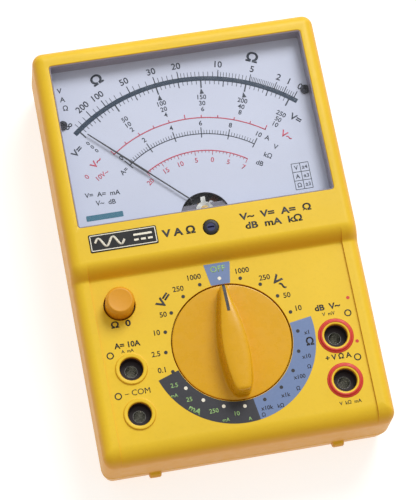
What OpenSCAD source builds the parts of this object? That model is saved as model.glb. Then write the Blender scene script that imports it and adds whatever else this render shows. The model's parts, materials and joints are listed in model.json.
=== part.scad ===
// Analogue multimeter lying on its back: +X right, +Y towards the meter window, +Z out of the face.
// The origin is at the middle of the footprint, on the surface the back rests on. Millimetres.

/* [Case] */
// Width of the case at the parting line
case_w = 100; // [98:1:104]
// Length of the case at the parting line, without the lugs
case_l = 148; // [146:1:152]
// Height of the parting line between rear cover and front case
part_z = 12; // [11.5:0.5:12.5]
// Height of the sunk lower panel
panel_z = 29.5; // [29.5:0.1:30]
// Height of the rim on both sides of the lower panel
rim_z = 30.3; // [30.1:0.1:30.8]
// Height of the raised meter head
head_z = 34; // [34:0.1:34.4]
// Radius of the case corners seen from the front
corner_r = 5; // [4:0.5:7]
// How far the lugs of the rear cover stand out of the lower end
lug_proud = 1.2; // [0.8:0.1:1.6]

/* [Meter] */
// Width of the window opening
window_w = 89.2; // [88:0.2:90]
// Length of the window opening
window_l = 60.1; // [58:0.1:61]
// Distance from the pointer's axis up to the middle of the window
window_up = 28.35; // [27.8:0.05:28.8]
// Height of the front of the dial plate
dial_z = 28; // [27.8:0.1:28.2]
// Half of the pointer's sweep
sweep_half = 46.5; // [40:0.5:47]
// Length of the pointer from its axis to its tip
pointer_len = 48.5; // [40:0.5:49]
// Radius of the black zero adjuster
adjuster_r = 2.65; // [2.4:0.05:3]

/* [Controls] */
// Radius of the range knob's disc
knob_r = 20.3; // [19.5:0.1:20.6]
// Height of the top of the knob's grip
grip_z = 37.4; // [35:0.1:40]
// Number of switch positions
positions = 20; // [12:1:24]
// Radius of the ohm zero knob
ohm_knob_r = 4.95; // [4.6:0.05:5.1]
// Height of the top of the ohm zero knob
ohm_knob_z = 35.6; // [34:0.1:37]

/* [Jacks] */
// Distance from the centre line to each column of jacks
jack_x = 35.2; // [34.5:0.1:36]
// Distance between the two jacks of a column
jack_pitch = 15.8; // [15.5:0.1:17]
// Radius of a jack opening in the panel
jack_open_r = 4; // [3.9:0.05:4.2]
// Radius of the contact bore for a 4 mm plug
jack_bore_r = 2.05; // [2.03:0.01:2.1]

/* [Hidden] */
$fn = 48;

// Colours
yellow = [0.93, 0.72, 0.10];
knob_yellow = [0.90, 0.62, 0.10];
dial_blue = [0.72, 0.78, 0.84];
clear = [0.85, 0.90, 0.95, 0.3];
black = [0.08, 0.08, 0.09];
steel = [0.70, 0.71, 0.73];
nickel = [0.78, 0.77, 0.72];
brass = [0.80, 0.62, 0.28];
copper = [0.72, 0.38, 0.18];
iron = [0.36, 0.37, 0.38];
green = [0.12, 0.38, 0.20];
tan = [0.80, 0.68, 0.45];
blue = [0.15, 0.30, 0.62];
bronze = [0.72, 0.52, 0.28];
glassy = [0.80, 0.86, 0.86, 0.5];

// Case
mid_y = lug_proud / 2;
top_y = mid_y + case_l / 2;
low_y = mid_y - case_l / 2;
wall = 2.2;
top_inset = 0.7;
rim_r = 4;
foot_r = 6.5;
head_r = 4;
step_top_y = -5.1;
step_low_y = -9.1;
rim_x = 44;
cavity_x = case_w / 2 - 3.2;
cavity_top_y = top_y - 2.8;
cavity_low_y = low_y + 2.8;
head_foot_z = 26;
head_cavity_z = head_z - 2.4;
head_cavity_y = -3.4;
lip_gap = 0.2;
lip_t = 1;
lip_h = 1.6;
floor_t = 2.2;
case_posts = [for (sx = [-1, 1], y = [low_y + 7.1, top_y - 7.1]) [sx * 42.5, y]];
post_r = 3.6;
screw_r = 1.45;
pilot_r = 1.5;
lug_x = 31.8;
lug_w = 4.2;
lug_r = 2.4;
lug_z = 8.4;

badge_low_y = -0.4;
badge_l = 6.5;
badge_x = [-41.9, -18.5];

// Meter
axis_y = 10.9;
window_y = axis_y + window_up;
pane_gap = 0.2;
flange_side = 1.7;
pane_z = head_z - 0.8;
pane_t = 1.5;
flange_z = 30.2;
dial_t = 0.5;
dial_x = 45.5;
dial_low_y = 8.4;
dial_top_y = 70.9;
dial_cut_r = 8.7;
dial_cut_drop = 2.4;
base_z = dial_z - dial_t;
base_t = 2.2;
base_under = base_z - base_t;
base_low_y = 1;
base_top_y = 71;
base_open_r = 18.5;
base_posts = [[-40, 4.2], [40, 4.2]];
dial_posts = [[-43, 49], [43, 49]];
tray_posts = [[-36, 48.7], [36, 48.7]];

// Movement: a magnet core inside the coil, and a soft iron ring outside it
core_r = 7;
core_z = 12;
core_h = 10;
yoke_in_r = 10.2;
yoke_out_r = 14;
spacer_half = 22;
coil_in = 7.8;
coil_out = 9.3;
coil_t = 2.4;
coil_leg = 1.4;
coil_low_z = 10;
coil_top_z = 24;
staff_r = 0.45;
staff_tip_z = 26.6;
staff_low_z = 7.9;
bridge_z = 26;
bridge_t = 1.2;
bridge_half = 2.5;
column_x = 15.9;
frame_z = 5.5;
ear_x = 21;
jewel_r = 1.4;
hub_z = 24.3;
riser_y = 5.6;
needle_z = dial_z + 0.9;
needle_tip = 0.15;
needle_wire = 0.2;
blade_y = 22.5;
blade_half = 0.35;
spring_z = 25.3;
hairspring_r = 4.1;
lever_z = bridge_z + bridge_t + 0.15;
lever_t = 0.4;
adjuster_y = 2.3;
pin_offset = 1;
pin_r = 0.6;
pin_gap = 0.12;

// Selector
knob_y = -37.6;
well_gap = 0.35;
well_z = 27.1;
well_floor = 2.3;
disc_under = 27.3;
disc_z = panel_z - 0.1;
hub_r = 5.92;
hub_hole_r = 6;
drive = 8;
drive_gap = 0.05;
rotor_r = 16;
rotor_z = 19.4;
rotor_t = 3.8;
ball_r = 1.5;
ball_ring_r = 13;
ball_z = well_z - well_floor - ball_r - 0.05;
boss_r = 22.5;

// Ohm zero control
ohm_x = -jack_x;
ohm_y = -18.6;
ohm_hole_r = 5.4;
pot_r = 6.5;
pot_shaft_r = 3;

// Board and jacks
board_z = 16;
board_t = 1.6;
board_top = board_z + board_t;
board_x = 43.5;
board_low_y = -67;
board_top_y = -6;
board_posts = [[-40, -30], [40, -30], [-16, -65], [16, -65]];
jack_y = knob_y - 3.8;
sleeve_r = 3;
sleeve_low_z = 9;
sleeve_top_z = 26;
barrel_r = 5.6;
barrel_low_z = 19;
lip_r = 5.35;
lip_up = 0.6;
resistor_places = [for (j = [0 : 4]) each [[26, -9.4 - 2.8 * j], [37, -9.4 - 2.8 * j]]];
fuse_y = -60;
fuse_z = 12.4;

// Batteries: two AA cells side by side, across the case
cell_r = 7.15;
cell_l = 49.5;
cell_z = 10.6;
cell_y = [41.2, 56.3];
tray_x = 31.2;
tray_low_y = 32.6;
tray_top_y = 64.9;
tray_t = 1.2;
tray_top_z = 19.2;
contact_x = 29.3;
ear_half = 3.6;

// ---- shared shapes ----

// A flat rectangle with round corners, centred
module rounded_rect(w, l, r) {
    square([w - 2 * r, l], center = true);
    square([w, l - 2 * r], center = true);
    for (sx = [-1, 1], sy = [-1, 1])
        translate([sx * (w / 2 - r), sy * (l / 2 - r)]) circle(r);
}

// A slab with round corners, standing on height z
module slab(w, l, r, z, h, y = mid_y) {
    translate([0, y, z]) linear_extrude(h) rounded_rect(w, l, r);
}

// A box given by its two opposite corners
module span(low, high) {
    translate(low) cube(high - low);
}

// A screw with its head below and its shank upwards
module screw(head_r, head_t, shank_r, length) {
    slot = 0.5;
    difference() {
        union() {
            cylinder(r = head_r, h = head_t);
            cylinder(r = shank_r, h = head_t + length);
        }
        for (turn = [0, 90])
            rotate(turn) translate([-head_r * 0.6, -slot / 2, -1])
                cube([head_r * 1.2, slot, 1 + head_t * 0.5]);
    }
}

// A wire of radius r wound as a helix with closed ends
module coil_wire(coil_r, length, turns, r, sides = 8, steps = 16) {
    rings = turns * steps;
    function place(i) = let (a = 360 * i / steps, up = r + (length - 2 * r) * i / rings)
        [for (k = [0 : sides - 1]) let (b = 360 * k / sides)
            [(coil_r + r * cos(b)) * cos(a), (coil_r + r * cos(b)) * sin(a), up + r * sin(b)]];
    points = [for (i = [0 : rings]) each place(i)];
    walls = [for (i = [0 : rings - 1], k = [0 : sides - 1]) let (n = (k + 1) % sides)
        [i * sides + k, (i + 1) * sides + k, (i + 1) * sides + n, i * sides + n]];
    start = [for (k = [0 : sides - 1]) k];
    finish = [for (k = [sides - 1 : -1 : 0]) rings * sides + k];
    polyhedron(points, concat(walls, [start, finish]), convexity = 8);
}

// A flat spiral strip, from radius r_in to radius r_out
module spiral(r_in, r_out, turns, strip, h) {
    steps = 20 * turns;
    function edge(offset) = [for (i = [0 : steps]) let (r = r_in + (r_out - r_in) * i / steps + offset)
        [r * cos(360 * turns * i / steps), r * sin(360 * turns * i / steps)]];
    back = edge(strip);
    linear_extrude(h) polygon(concat(edge(0), [for (i = [steps : -1 : 0]) back[i]]));
}

// ---- case ----

module case_outer() {
    // lower body, full footprint at the parting line and drafted towards the front
    hull() {
        slab(case_w, case_l, corner_r, part_z, 0.6);
        for (sx = [-1, 1]) {
            translate([sx * (case_w / 2 - top_inset - rim_r), top_y - top_inset - rim_r, rim_z - rim_r])
                sphere(rim_r, $fn = 32);
            translate([sx * (case_w / 2 - top_inset - foot_r), low_y + top_inset + foot_r, rim_z - foot_r])
                sphere(foot_r, $fn = 32);
        }
    }
    // raised meter head with its sloping lower step
    hull() {
        head_l = top_y - step_low_y - top_inset;
        slab(case_w - 2 * top_inset, head_l, corner_r - 1, head_foot_z, panel_z - head_foot_z,
             step_low_y + head_l / 2);
        for (sx = [-1, 1]) {
            translate([sx * (case_w / 2 - top_inset - head_r), top_y - top_inset - head_r, head_z - head_r])
                sphere(head_r, $fn = 32);
            translate([sx * (case_w / 2 - top_inset - head_r), step_top_y + head_r - 0.6, head_z - head_r])
                sphere(head_r, $fn = 32);
        }
    }
}

module case_cavity() {
    under_panel = panel_z - wall;
    // below the bottom rounding, then the two levels above it
    span([-cavity_x, cavity_low_y, part_z - 1], [cavity_x, cavity_top_y, 21]);
    span([-cavity_x, low_y + 8, 20], [cavity_x, cavity_top_y, under_panel - 1.6]);
    span([-rim_x, low_y + 8, 20], [rim_x, cavity_top_y, under_panel]);
    span([-cavity_x, head_cavity_y, 20], [cavity_x, cavity_top_y, head_cavity_z]);
}

module front_case() color(yellow)
difference() {
    union() {
        difference() {
            case_outer();
            case_cavity();
            // sunk lower panel between the rims
            span([-rim_x, low_y - 1, panel_z], [rim_x, step_low_y, panel_z + 5]);
        }
        // floor under the selector disc
        translate([0, knob_y, well_z - well_floor])
            cylinder(r = boss_r, h = panel_z - well_z + well_floor - 1);
        // jack barrels with their raised lips
        for (sx = [-1, 1], row = [0, 1])
            translate([sx * jack_x, jack_y - row * jack_pitch, barrel_low_z]) {
                cylinder(r = barrel_r, h = panel_z - barrel_low_z - 1);
                cylinder(r = lip_r, h = panel_z - barrel_low_z + lip_up);
            }
        // posts for the case screws
        for (p = case_posts) {
            post_top = p.y > 0 ? base_under - 0.1 : panel_z - wall + 0.7;
            translate([p.x, p.y, part_z]) cylinder(r = post_r, h = post_top - part_z);
        }
        for (sx = [-1, 1]) {
            span([sx > 0 ? 43 : -cavity_x - 0.5, cavity_top_y - 1, part_z + 2],
                 [sx > 0 ? cavity_x + 0.5 : -43, cavity_top_y + 0.5, 25]);
        }
        // posts for the board
        for (p = board_posts)
            translate([p.x, p.y, board_top]) cylinder(r = 2.6, h = 28 - board_top);
        // bosses for the meter base
        for (p = base_posts)
            translate([p.x, p.y, base_z]) cylinder(r = 3, h = head_cavity_z + 0.5 - base_z);
        // ledges that carry the upper edge of the meter base
        for (x = [-24, 14])
            span([x, base_top_y - 0.7, base_under - 1], [x + 10, cavity_top_y + 0.5, base_under]);
    }
    // window opening
    slab(window_w, window_l, 1, 20, 20, window_y);
    // shallow pocket for the name badge
    span([badge_x[0] - 0.1, badge_low_y - 0.1, head_z - 0.25],
         [badge_x[1] + 0.1, badge_low_y + badge_l + 0.1, head_z + 1]);
    // zero adjuster
    translate([0, adjuster_y, 20]) cylinder(r = 2, h = 20);
    translate([0, adjuster_y, head_z - 0.9]) cylinder(r = adjuster_r + 0.15, h = 2);
    // selector well, hub bearing and detent notches
    translate([0, knob_y, well_z]) cylinder(r = knob_r + well_gap, h = 10);
    translate([0, knob_y, 20]) cylinder(r = hub_hole_r, h = 10);
    for (i = [0 : positions - 1])
        translate([0, knob_y, 0]) rotate(360 * i / positions)
            translate([ball_ring_r, 0, well_z - well_floor - 1.1]) sphere(1.6, $fn = 24);
    // ohm zero knob
    translate([ohm_x, ohm_y, 20]) cylinder(r = ohm_hole_r, h = 20);
    // jack openings
    for (sx = [-1, 1], row = [0, 1])
        translate([sx * jack_x, jack_y - row * jack_pitch, barrel_low_z - 1])
            cylinder(r = jack_open_r, h = 20);
    // pilot holes
    for (p = case_posts) translate([p.x, p.y, part_z - 1]) cylinder(r = pilot_r, h = 11.5);
    for (p = board_posts) translate([p.x, p.y, board_top - 1]) cylinder(r = 1.25, h = 8);
    for (p = base_posts) translate([p.x, p.y, base_z - 1]) cylinder(r = 1.25, h = 4.6);
}

module rear_cover() color(yellow) {
    inner_w = 2 * (cavity_x - lip_gap - lip_t);
    inner_l = cavity_top_y - cavity_low_y - 2 * (lip_gap + lip_t);
    inner_y = (cavity_top_y + cavity_low_y) / 2;
    difference() {
        union() {
            difference() {
                union() {
                    hull() {
                        slab(case_w, case_l, corner_r, part_z - 2, 2);
                        slab(case_w - 1.6, case_l - 1.6, corner_r, 3, 1);
                        slab(case_w - 5, case_l - 5, corner_r, 0, 0.5);
                    }
                    // tongue that reaches into the front case
                    slab(inner_w + 2 * lip_t, inner_l + 2 * lip_t, 3, part_z - 0.5, lip_h + 0.5, inner_y);
                    // lugs at the lower end
                    for (sx = [-1, 1])
                        translate([sx * lug_x - lug_w / 2, low_y - lug_proud + lug_r, lug_z])
                            rotate([0, 90, 0]) cylinder(r = lug_r, h = lug_w);
                }
                slab(inner_w, inner_l, 2.5, floor_t + 0.8, 30, inner_y);
                for (p = case_posts) translate([p.x, p.y, part_z]) cylinder(r = post_r + 0.6, h = 5);
            }
            for (p = case_posts) translate([p.x, p.y, floor_t]) cylinder(r = post_r, h = part_z - floor_t);
        }
        for (p = case_posts) {
            translate([p.x, p.y, -1]) cylinder(r = 3.2, h = 4.4);
            translate([p.x, p.y, -1]) cylinder(r = 1.7, h = 20);
        }
    }
}

module case_screws() color(steel)
for (p = case_posts) translate([p.x, p.y, 1.2]) screw(2.9, 2.1, screw_r, 18);

// ---- window, badge and dial ----

module meter_window() color(clear)
difference() {
    union() {
        slab(window_w + 2 * flange_side, window_l + 2 * flange_side, 1.5, flange_z, 1.3, window_y);
        slab(window_w - 2 * pane_gap, window_l - 2 * pane_gap, 0.9, flange_z, pane_z - flange_z, window_y);
    }
    slab(window_w - 3, window_l - 3, 0.6, flange_z - 1, pane_z - pane_t - flange_z + 1, window_y);
}

module name_badge() color(black)
span([badge_x[0], badge_low_y, head_z - 0.23], [badge_x[1], badge_low_y + badge_l, head_z + 0.2]);

module dial_plate() color(dial_blue)
difference() {
    span([-dial_x, dial_low_y, base_z], [dial_x, dial_top_y, dial_z]);
    translate([0, axis_y - dial_cut_drop, base_z - 1]) cylinder(r = dial_cut_r, h = 3);
    span([-dial_cut_r, 0, base_z - 1], [dial_cut_r, axis_y - dial_cut_drop, dial_z + 1]);
    for (p = dial_posts) translate([p.x, p.y, base_z - 1]) cylinder(r = 1.1, h = 3);
}

module dial_screws() color(steel)
for (p = dial_posts) translate([p.x, p.y, dial_z + 0.7]) mirror([0, 0, 1]) screw(1.6, 0.7, 1, 2.2);

module meter_base() color(black)
difference() {
    union() {
        span([-dial_x, base_low_y, base_under], [dial_x, base_top_y, base_z]);
        for (p = tray_posts)
            translate([p.x, p.y, tray_top_z]) cylinder(r = 2.8, h = base_under - tray_top_z + 0.5);
        for (sx = [-1, 1]) span([sx * 43 - 0.6, 12, base_under - 4], [sx * 43 + 0.6, 58, base_under + 0.5]);
    }
    translate([0, axis_y, base_under - 1]) cylinder(r = base_open_r, h = 5);
    for (p = base_posts) translate([p.x, p.y, base_under - 1]) cylinder(r = 1.4, h = 5);
    for (p = dial_posts) translate([p.x, p.y, base_z - 2]) cylinder(r = 1.05, h = 3);
    for (p = tray_posts) translate([p.x, p.y, tray_top_z - 1]) cylinder(r = 1.25, h = 6.5);
    for (sx = [-1, 1]) translate([sx * ear_x, axis_y, base_under - 1]) cylinder(r = 1.05, h = 2.8);
}

module base_screws() color(steel)
for (p = base_posts) translate([p.x, p.y, base_under - 1.6]) screw(2.4, 1.6, 1.2, 5);

// ---- movement ----

module at_axis() {
    translate([0, axis_y, 0]) children();
}

// The moving parts are drawn for mid-scale and turned to the zero end
module at_rest() {
    at_axis() rotate(sweep_half) children();
}

module movement_frame() color(black)
at_axis() difference() {
    union() {
        translate([0, 0, frame_z]) cylinder(r = yoke_out_r + 1, h = 2.4);
        difference() {
            translate([0, 0, frame_z]) cylinder(r = yoke_out_r + 1, h = core_z - frame_z);
            translate([0, 0, frame_z + 2]) cylinder(r = yoke_out_r - 2, h = 10);
        }
        for (sx = [-1, 1]) {
            span([sx > 0 ? 14.2 : -17.5, -4, frame_z + 1], [sx > 0 ? 17.5 : -14.2, 4, bridge_z]);
            span([sx > 0 ? 17 : -24, -4, base_under - 1.8], [sx > 0 ? 24 : -17, 4, base_under]);
        }
    }
    translate([0, 0, frame_z - 1]) cylinder(r = jewel_r, h = 5);
    translate([0, 0, core_z]) cylinder(r = yoke_out_r + 0.1, h = core_h + 1);
    for (sx = [-1, 1]) {
        translate([sx * column_x, 0, bridge_z - 5]) cylinder(r = 0.85, h = 6);
        translate([sx * ear_x, 0, base_under - 3]) cylinder(r = 1.15, h = 4);
    }
}

module frame_screws() color(steel)
at_axis() for (sx = [-1, 1]) translate([sx * ear_x, 0, base_under - 3]) screw(1.9, 1.2, 1, 3.4);

module yoke_ring() color(iron)
at_axis() translate([0, 0, core_z]) difference() {
    cylinder(r = yoke_out_r, h = core_h);
    translate([0, 0, -1]) cylinder(r = yoke_in_r, h = core_h + 2);
}

module core_magnet() color(steel)
at_axis() translate([0, 0, core_z]) cylinder(r = core_r, h = core_h);

module core_spacers() color(nickel)
at_axis() intersection() {
    translate([0, 0, core_z + 0.5]) difference() {
        cylinder(r = yoke_in_r - 0.02, h = core_h - 1);
        translate([0, 0, -1]) cylinder(r = core_r + 0.02, h = core_h + 2);
    }
    reach = 20;
    side = reach * tan(spacer_half);
    translate([0, 0, core_z]) linear_extrude(core_h)
        for (s = [-1, 1]) polygon([[0, 0], [-side, s * reach], [side, s * reach]]);
}

module upper_bridge() color(brass)
at_axis() difference() {
    span([-17.4, -bridge_half, bridge_z], [17.4, bridge_half, bridge_z + bridge_t]);
    translate([0, 0, bridge_z - 1]) cylinder(r = jewel_r, h = 4);
    for (sx = [-1, 1]) {
        translate([sx * column_x, 0, bridge_z - 1]) cylinder(r = 0.85, h = 4);
        translate([sx * column_x, 0, bridge_z + bridge_t - 0.6]) cylinder(r = 1.45, h = 1);
    }
}

module bridge_screws() color(steel)
at_axis() for (sx = [-1, 1])
    translate([sx * column_x, 0, bridge_z + bridge_t + 0.1]) mirror([0, 0, 1]) screw(1.4, 0.7, 0.8, 4.2);

// A bearing screw with a conical cup for the pivot, drawn with its cup upwards
module jewel(length) {
    difference() {
        cylinder(r = jewel_r - 0.01, h = length);
        translate([0, 0, length - 0.7]) cylinder(r1 = 0.05, r2 = 0.75, h = 0.71);
        translate([-2, -0.2, -1]) cube([4, 0.4, 1.3]);
    }
}

module upper_jewel() color(brass)
at_axis() translate([0, 0, 28.5]) mirror([0, 0, 1]) jewel(28.5 - bridge_z);

module lower_jewel() color(brass)
at_axis() translate([0, 0, frame_z - 0.3]) jewel(2.8);

module moving_coil() color(copper)
at_rest() difference() {
    span([-coil_out, -coil_t / 2, coil_low_z], [coil_out, coil_t / 2, coil_top_z]);
    span([-coil_in, -coil_t, coil_low_z + coil_leg], [coil_in, coil_t, coil_top_z - coil_leg]);
}

module coil_pivots() color(steel)
at_rest() {
    tip = 0.5;
    translate([0, 0, coil_top_z]) cylinder(r = staff_r, h = staff_tip_z - tip - coil_top_z);
    translate([0, 0, staff_tip_z - tip]) cylinder(r1 = staff_r, r2 = 0.05, h = tip);
    translate([0, 0, staff_low_z]) cylinder(r = staff_r, h = coil_low_z - staff_low_z);
    translate([0, 0, staff_low_z - tip]) cylinder(r1 = 0.05, r2 = staff_r, h = tip);
}

module pointer() color(black)
at_rest() {
    arm = 1;
    difference() {
        union() {
            translate([0, 0, hub_z]) cylinder(r = 1.7, h = 0.5);
            span([-arm / 2, -6.6, hub_z], [arm / 2, riser_y + 0.2, hub_z + 0.4]);
            span([-5, -0.4, hub_z], [5, 0.4, hub_z + 0.4]);
        }
        translate([0, 0, hub_z - 1]) cylinder(r = staff_r + 0.01, h = 3);
    }
    // riser through the opening of the dial, and the needle above it: a thin stem, then a tapered blade
    span([-arm / 2, riser_y - 0.2, hub_z + 0.3], [arm / 2, riser_y + 0.2, needle_z + 0.3]);
    translate([0, 0, needle_z]) linear_extrude(0.3)
        polygon([[-needle_wire, riser_y - 0.2], [needle_wire, riser_y - 0.2],
                 [needle_wire, blade_y], [blade_half, blade_y + 2],
                 [needle_tip, pointer_len], [-needle_tip, pointer_len],
                 [-blade_half, blade_y + 2], [-needle_wire, blade_y]]);
}

module balance_weights() color(steel)
at_rest() for (p = [[0, -6], [-4.4, 0], [4.4, 0]])
    translate([p.x, p.y, hub_z + 0.42]) cylinder(r = 0.8, h = 0.4);

module hairspring() {
    spiral(staff_r + 0.05, hairspring_r, 5, 0.14, 0.35);
}

module upper_hairspring() color(bronze)
at_rest() translate([0, 0, spring_z]) hairspring();

module lower_hairspring() color(bronze)
at_rest() translate([0, 0, coil_low_z - 1]) hairspring();

module zero_lever() color(nickel)
at_axis() {
    fork = axis_y - adjuster_y + pin_offset;
    difference() {
        union() {
            translate([0, 0, lever_z]) cylinder(r = 3, h = lever_t);
            span([-1.6, -fork - 1.6, lever_z], [1.6, 0, lever_z + lever_t]);
            span([-0.8, 0, lever_z], [0.8, 4.8, lever_z + lever_t]);
        }
        translate([0, 0, lever_z - 1]) cylinder(r = jewel_r + 0.05, h = 3);
        span([-pin_r - pin_gap, -fork - 3, lever_z - 1], [pin_r + pin_gap, -fork + 1.4, lever_z + 2]);
    }
    // tab that holds the outer end of the upper hairspring
    span([-0.8, 4.4, spring_z + 0.2], [0.8, 4.8, lever_z + 0.1]);
}

module zero_adjuster() color(black)
translate([0, adjuster_y, 0]) difference() {
    union() {
        translate([0, 0, head_z - 0.85]) cylinder(r = adjuster_r, h = 1.25);
        translate([0, 0, 30.2]) cylinder(r = 1.93, h = head_z - 0.8 - 30.2);
        translate([0, 0, 30.2]) cylinder(r = 2.6, h = head_cavity_z - 30.2 - 0.15);
        translate([0, -pin_offset, lever_z - 0.3]) cylinder(r = pin_r, h = 31 - lever_z);
    }
    translate([0, 0, head_z + 0.4]) cube([2 * adjuster_r - 1.6, 0.7, 1.4], center = true);
}

// ---- selector ----

module at_knob() {
    translate([0, knob_y, 0]) children();
}

module range_knob() color(knob_yellow)
at_knob() difference() {
    union() {
        translate([0, 0, disc_under]) cylinder(r = knob_r, h = disc_z - disc_under);
        translate([0, 0, rotor_z + rotor_t]) cylinder(r = hub_r, h = disc_under - rotor_z - rotor_t + 0.5);
        span([-drive / 2, -drive / 2, rotor_z + 0.4], [drive / 2, drive / 2, rotor_z + rotor_t + 0.5]);
        // leaf-shaped grip, narrow at the mark and wider at the middle
        hull() {
            for (c = [[18.4, 1.2], [0, 6.6], [-15, 4.4]])
                translate([0, c[0], disc_z - 0.3]) cylinder(r = c[1], h = 0.4, $fn = 32);
            for (c = [[18.6, 1.1], [-1.5, 4.3], [-15.5, 2.8]])
                translate([0, c[0], grip_z - 0.4]) cylinder(r = c[1], h = 0.4, $fn = 32);
        }
    }
    // groove of the position mark
    span([-0.5, 10.5, grip_z - 0.4], [0.5, 21, grip_z + 1]);
    // screw bore
    translate([0, 0, rotor_z]) cylinder(r = pilot_r, h = 7);
}

module selector_rotor() color(black)
at_knob() difference() {
    translate([0, 0, rotor_z]) cylinder(r = rotor_r, h = rotor_t);
    hole = drive + 2 * drive_gap;
    translate([-hole / 2, -hole / 2, rotor_z - 1]) cube([hole, hole, rotor_t + 2]);
    for (sx = [-1, 1]) translate([sx * ball_ring_r, 0, rotor_z + 0.8]) cylinder(r = ball_r + 0.06, h = 5);
}

module wiper_contacts() color(brass)
at_knob() for (s = [-1, 1]) {
    span([-1.6, s > 0 ? 7.6 : -14.6, rotor_z - 0.4], [1.6, s > 0 ? 14.6 : -7.6, rotor_z]);
    for (r = [8.6, 11.1, 13.6])
        translate([0, s * r, board_top + 0.3]) cylinder(r = 0.8, h = rotor_z - board_top - 0.6);
}

module detent_balls() color(steel)
at_knob() for (sx = [-1, 1]) translate([sx * ball_ring_r, 0, ball_z]) sphere(ball_r);

module detent_springs() color(steel)
at_knob() for (sx = [-1, 1]) {
    seat_z = rotor_z + 0.82;
    translate([sx * ball_ring_r, 0, seat_z]) coil_wire(0.95, ball_z - ball_r + 0.25 - seat_z, 2, 0.2);
}

module selector_washer() color(steel)
at_knob() translate([0, 0, rotor_z - 0.5]) difference() {
    cylinder(r = 6.6, h = 0.49);
    translate([0, 0, -1]) cylinder(r = 1.6, h = 3);
}

module selector_screw() color(steel)
at_knob() translate([0, 0, rotor_z - 1.9]) screw(2.6, 1.39, screw_r, 7);

// ---- ohm zero control ----

module at_ohm() {
    translate([ohm_x, ohm_y, 0]) children();
}

module ohm_zero_knob() color(knob_yellow)
at_ohm() difference() {
    union() {
        translate([0, 0, 25.2]) cylinder(r = ohm_knob_r, h = ohm_knob_z - 25.2 - 0.8);
        translate([0, 0, ohm_knob_z - 0.8]) cylinder(r1 = ohm_knob_r, r2 = ohm_knob_r - 0.8, h = 0.8);
    }
    translate([0, 0, 24]) cylinder(r = pot_shaft_r + 0.02, h = 7);
    translate([0, 0, ohm_knob_z + 19.7]) sphere(20.2);
}

module ohm_zero_shaft() color(nickel)
at_ohm() translate([0, 0, 19]) cylinder(r = pot_shaft_r, h = 11.8);

module ohm_zero_pot() color(steel)
at_ohm() difference() {
    union() {
        translate([0, 0, board_top]) cylinder(r = pot_r, h = 5);
        translate([0, 0, board_top]) cylinder(r = 4.2, h = 6.8);
        for (x = [-3, 0, 3]) span([x - 0.4, -0.4, board_z - 1.2], [x + 0.4, 0.4, board_top + 0.5]);
    }
    translate([0, 0, 18.8]) cylinder(r = pot_shaft_r + 0.06, h = 10);
}

// ---- board ----

module circuit_board() color(green)
difference() {
    span([-board_x, board_low_y, board_z], [board_x, board_top_y, board_top]);
    for (p = case_posts) translate([p.x, p.y, board_z - 1]) cylinder(r = post_r + 0.8, h = 4);
    for (p = board_posts) translate([p.x, p.y, board_z - 1]) cylinder(r = 1.4, h = 4);
    for (sx = [-1, 1], row = [0, 1])
        translate([sx * jack_x, jack_y - row * jack_pitch, board_z - 1])
            cylinder(r = sleeve_r + 0.02, h = 4);
    at_knob() translate([0, 0, board_z - 1]) cylinder(r = 5, h = 4);
    at_ohm() for (x = [-3, 0, 3]) translate([x, 0, board_z - 1]) cylinder(r = 0.7, h = 4);
}

module board_screws() color(steel)
for (p = board_posts) translate([p.x, p.y, board_z - 1.5]) screw(2.4, 1.5, 1.2, 7);

module resistors() color(tan)
for (p = resistor_places) translate([p.x, p.y, board_top + 1.4]) {
    rotate([0, 90, 0]) cylinder(r = 1.15, h = 5.6, center = true, $fn = 24);
    rotate([0, 90, 0]) cylinder(r = 0.3, h = 8.4, center = true, $fn = 16);
    for (s = [-1, 1]) translate([s * 4.1, 0, -1.4]) cylinder(r = 0.3, h = 1.5, $fn = 16);
}

module capacitors() color(brass) {
    span([4, -13, board_top], [15, -8.4, board_top + 7]);
    translate([-27, -10.5, board_top]) cylinder(r = 2.5, h = 7);
}

module trimmers() color(blue)
for (x = [-6, -15]) translate([x, -10.6, board_top]) difference() {
    span([-3.2, -3.2, 0], [3.2, 3.2, 4]);
    translate([0, 0, 3.4]) cylinder(r = 1.7, h = 2);
}

module jack_sleeve(sx, row) color(nickel)
translate([sx * jack_x, jack_y - row * jack_pitch, 0]) difference() {
    union() {
        translate([0, 0, sleeve_low_z]) cylinder(r = sleeve_r, h = sleeve_top_z - sleeve_low_z);
        translate([0, 0, board_z - 1]) cylinder(r = 4.4, h = 1);
    }
    translate([0, 0, sleeve_low_z + 1.2]) cylinder(r = jack_bore_r, h = 20);
}

module jack_10a() jack_sleeve(-1, 0);
module jack_common() jack_sleeve(-1, 1);
module jack_output() jack_sleeve(1, 0);
module jack_volt_ohm() jack_sleeve(1, 1);

module fuse() color(glassy)
translate([0, fuse_y, fuse_z]) rotate([0, 90, 0]) {
    cylinder(r = 2.4, h = 20, center = true);
    for (s = [-1, 1]) translate([0, 0, s * 7.5]) cylinder(r = 2.6, h = 5, center = true);
}

module fuse_clips() color(brass)
for (s = [-1, 1]) translate([s * 7.5, fuse_y, fuse_z]) difference() {
    span([-2, -3.2, -1.5], [2, 3.2, board_z - fuse_z]);
    rotate([0, 90, 0]) cylinder(r = 2.63, h = 9, center = true);
    span([-5, -2.3, -4], [5, 2.3, 0]);
}

// ---- batteries ----

module battery_tray() color(black)
difference() {
    union() {
        span([-tray_x, tray_low_y, 4], [tray_x, tray_top_y, tray_top_z]);
        // ears for the tray screws
        span([tray_posts[0].x - ear_half, tray_posts[0].y - ear_half, tray_top_z - tray_t],
             [tray_posts[1].x + ear_half, tray_posts[1].y + ear_half, tray_top_z]);
    }
    span([-tray_x + tray_t, tray_low_y + tray_t, 0],
         [tray_x - tray_t, tray_top_y - tray_t, tray_top_z - tray_t]);
    for (p = tray_posts) translate([p.x, p.y, tray_top_z - 3]) cylinder(r = 1.4, h = 5);
}

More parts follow.
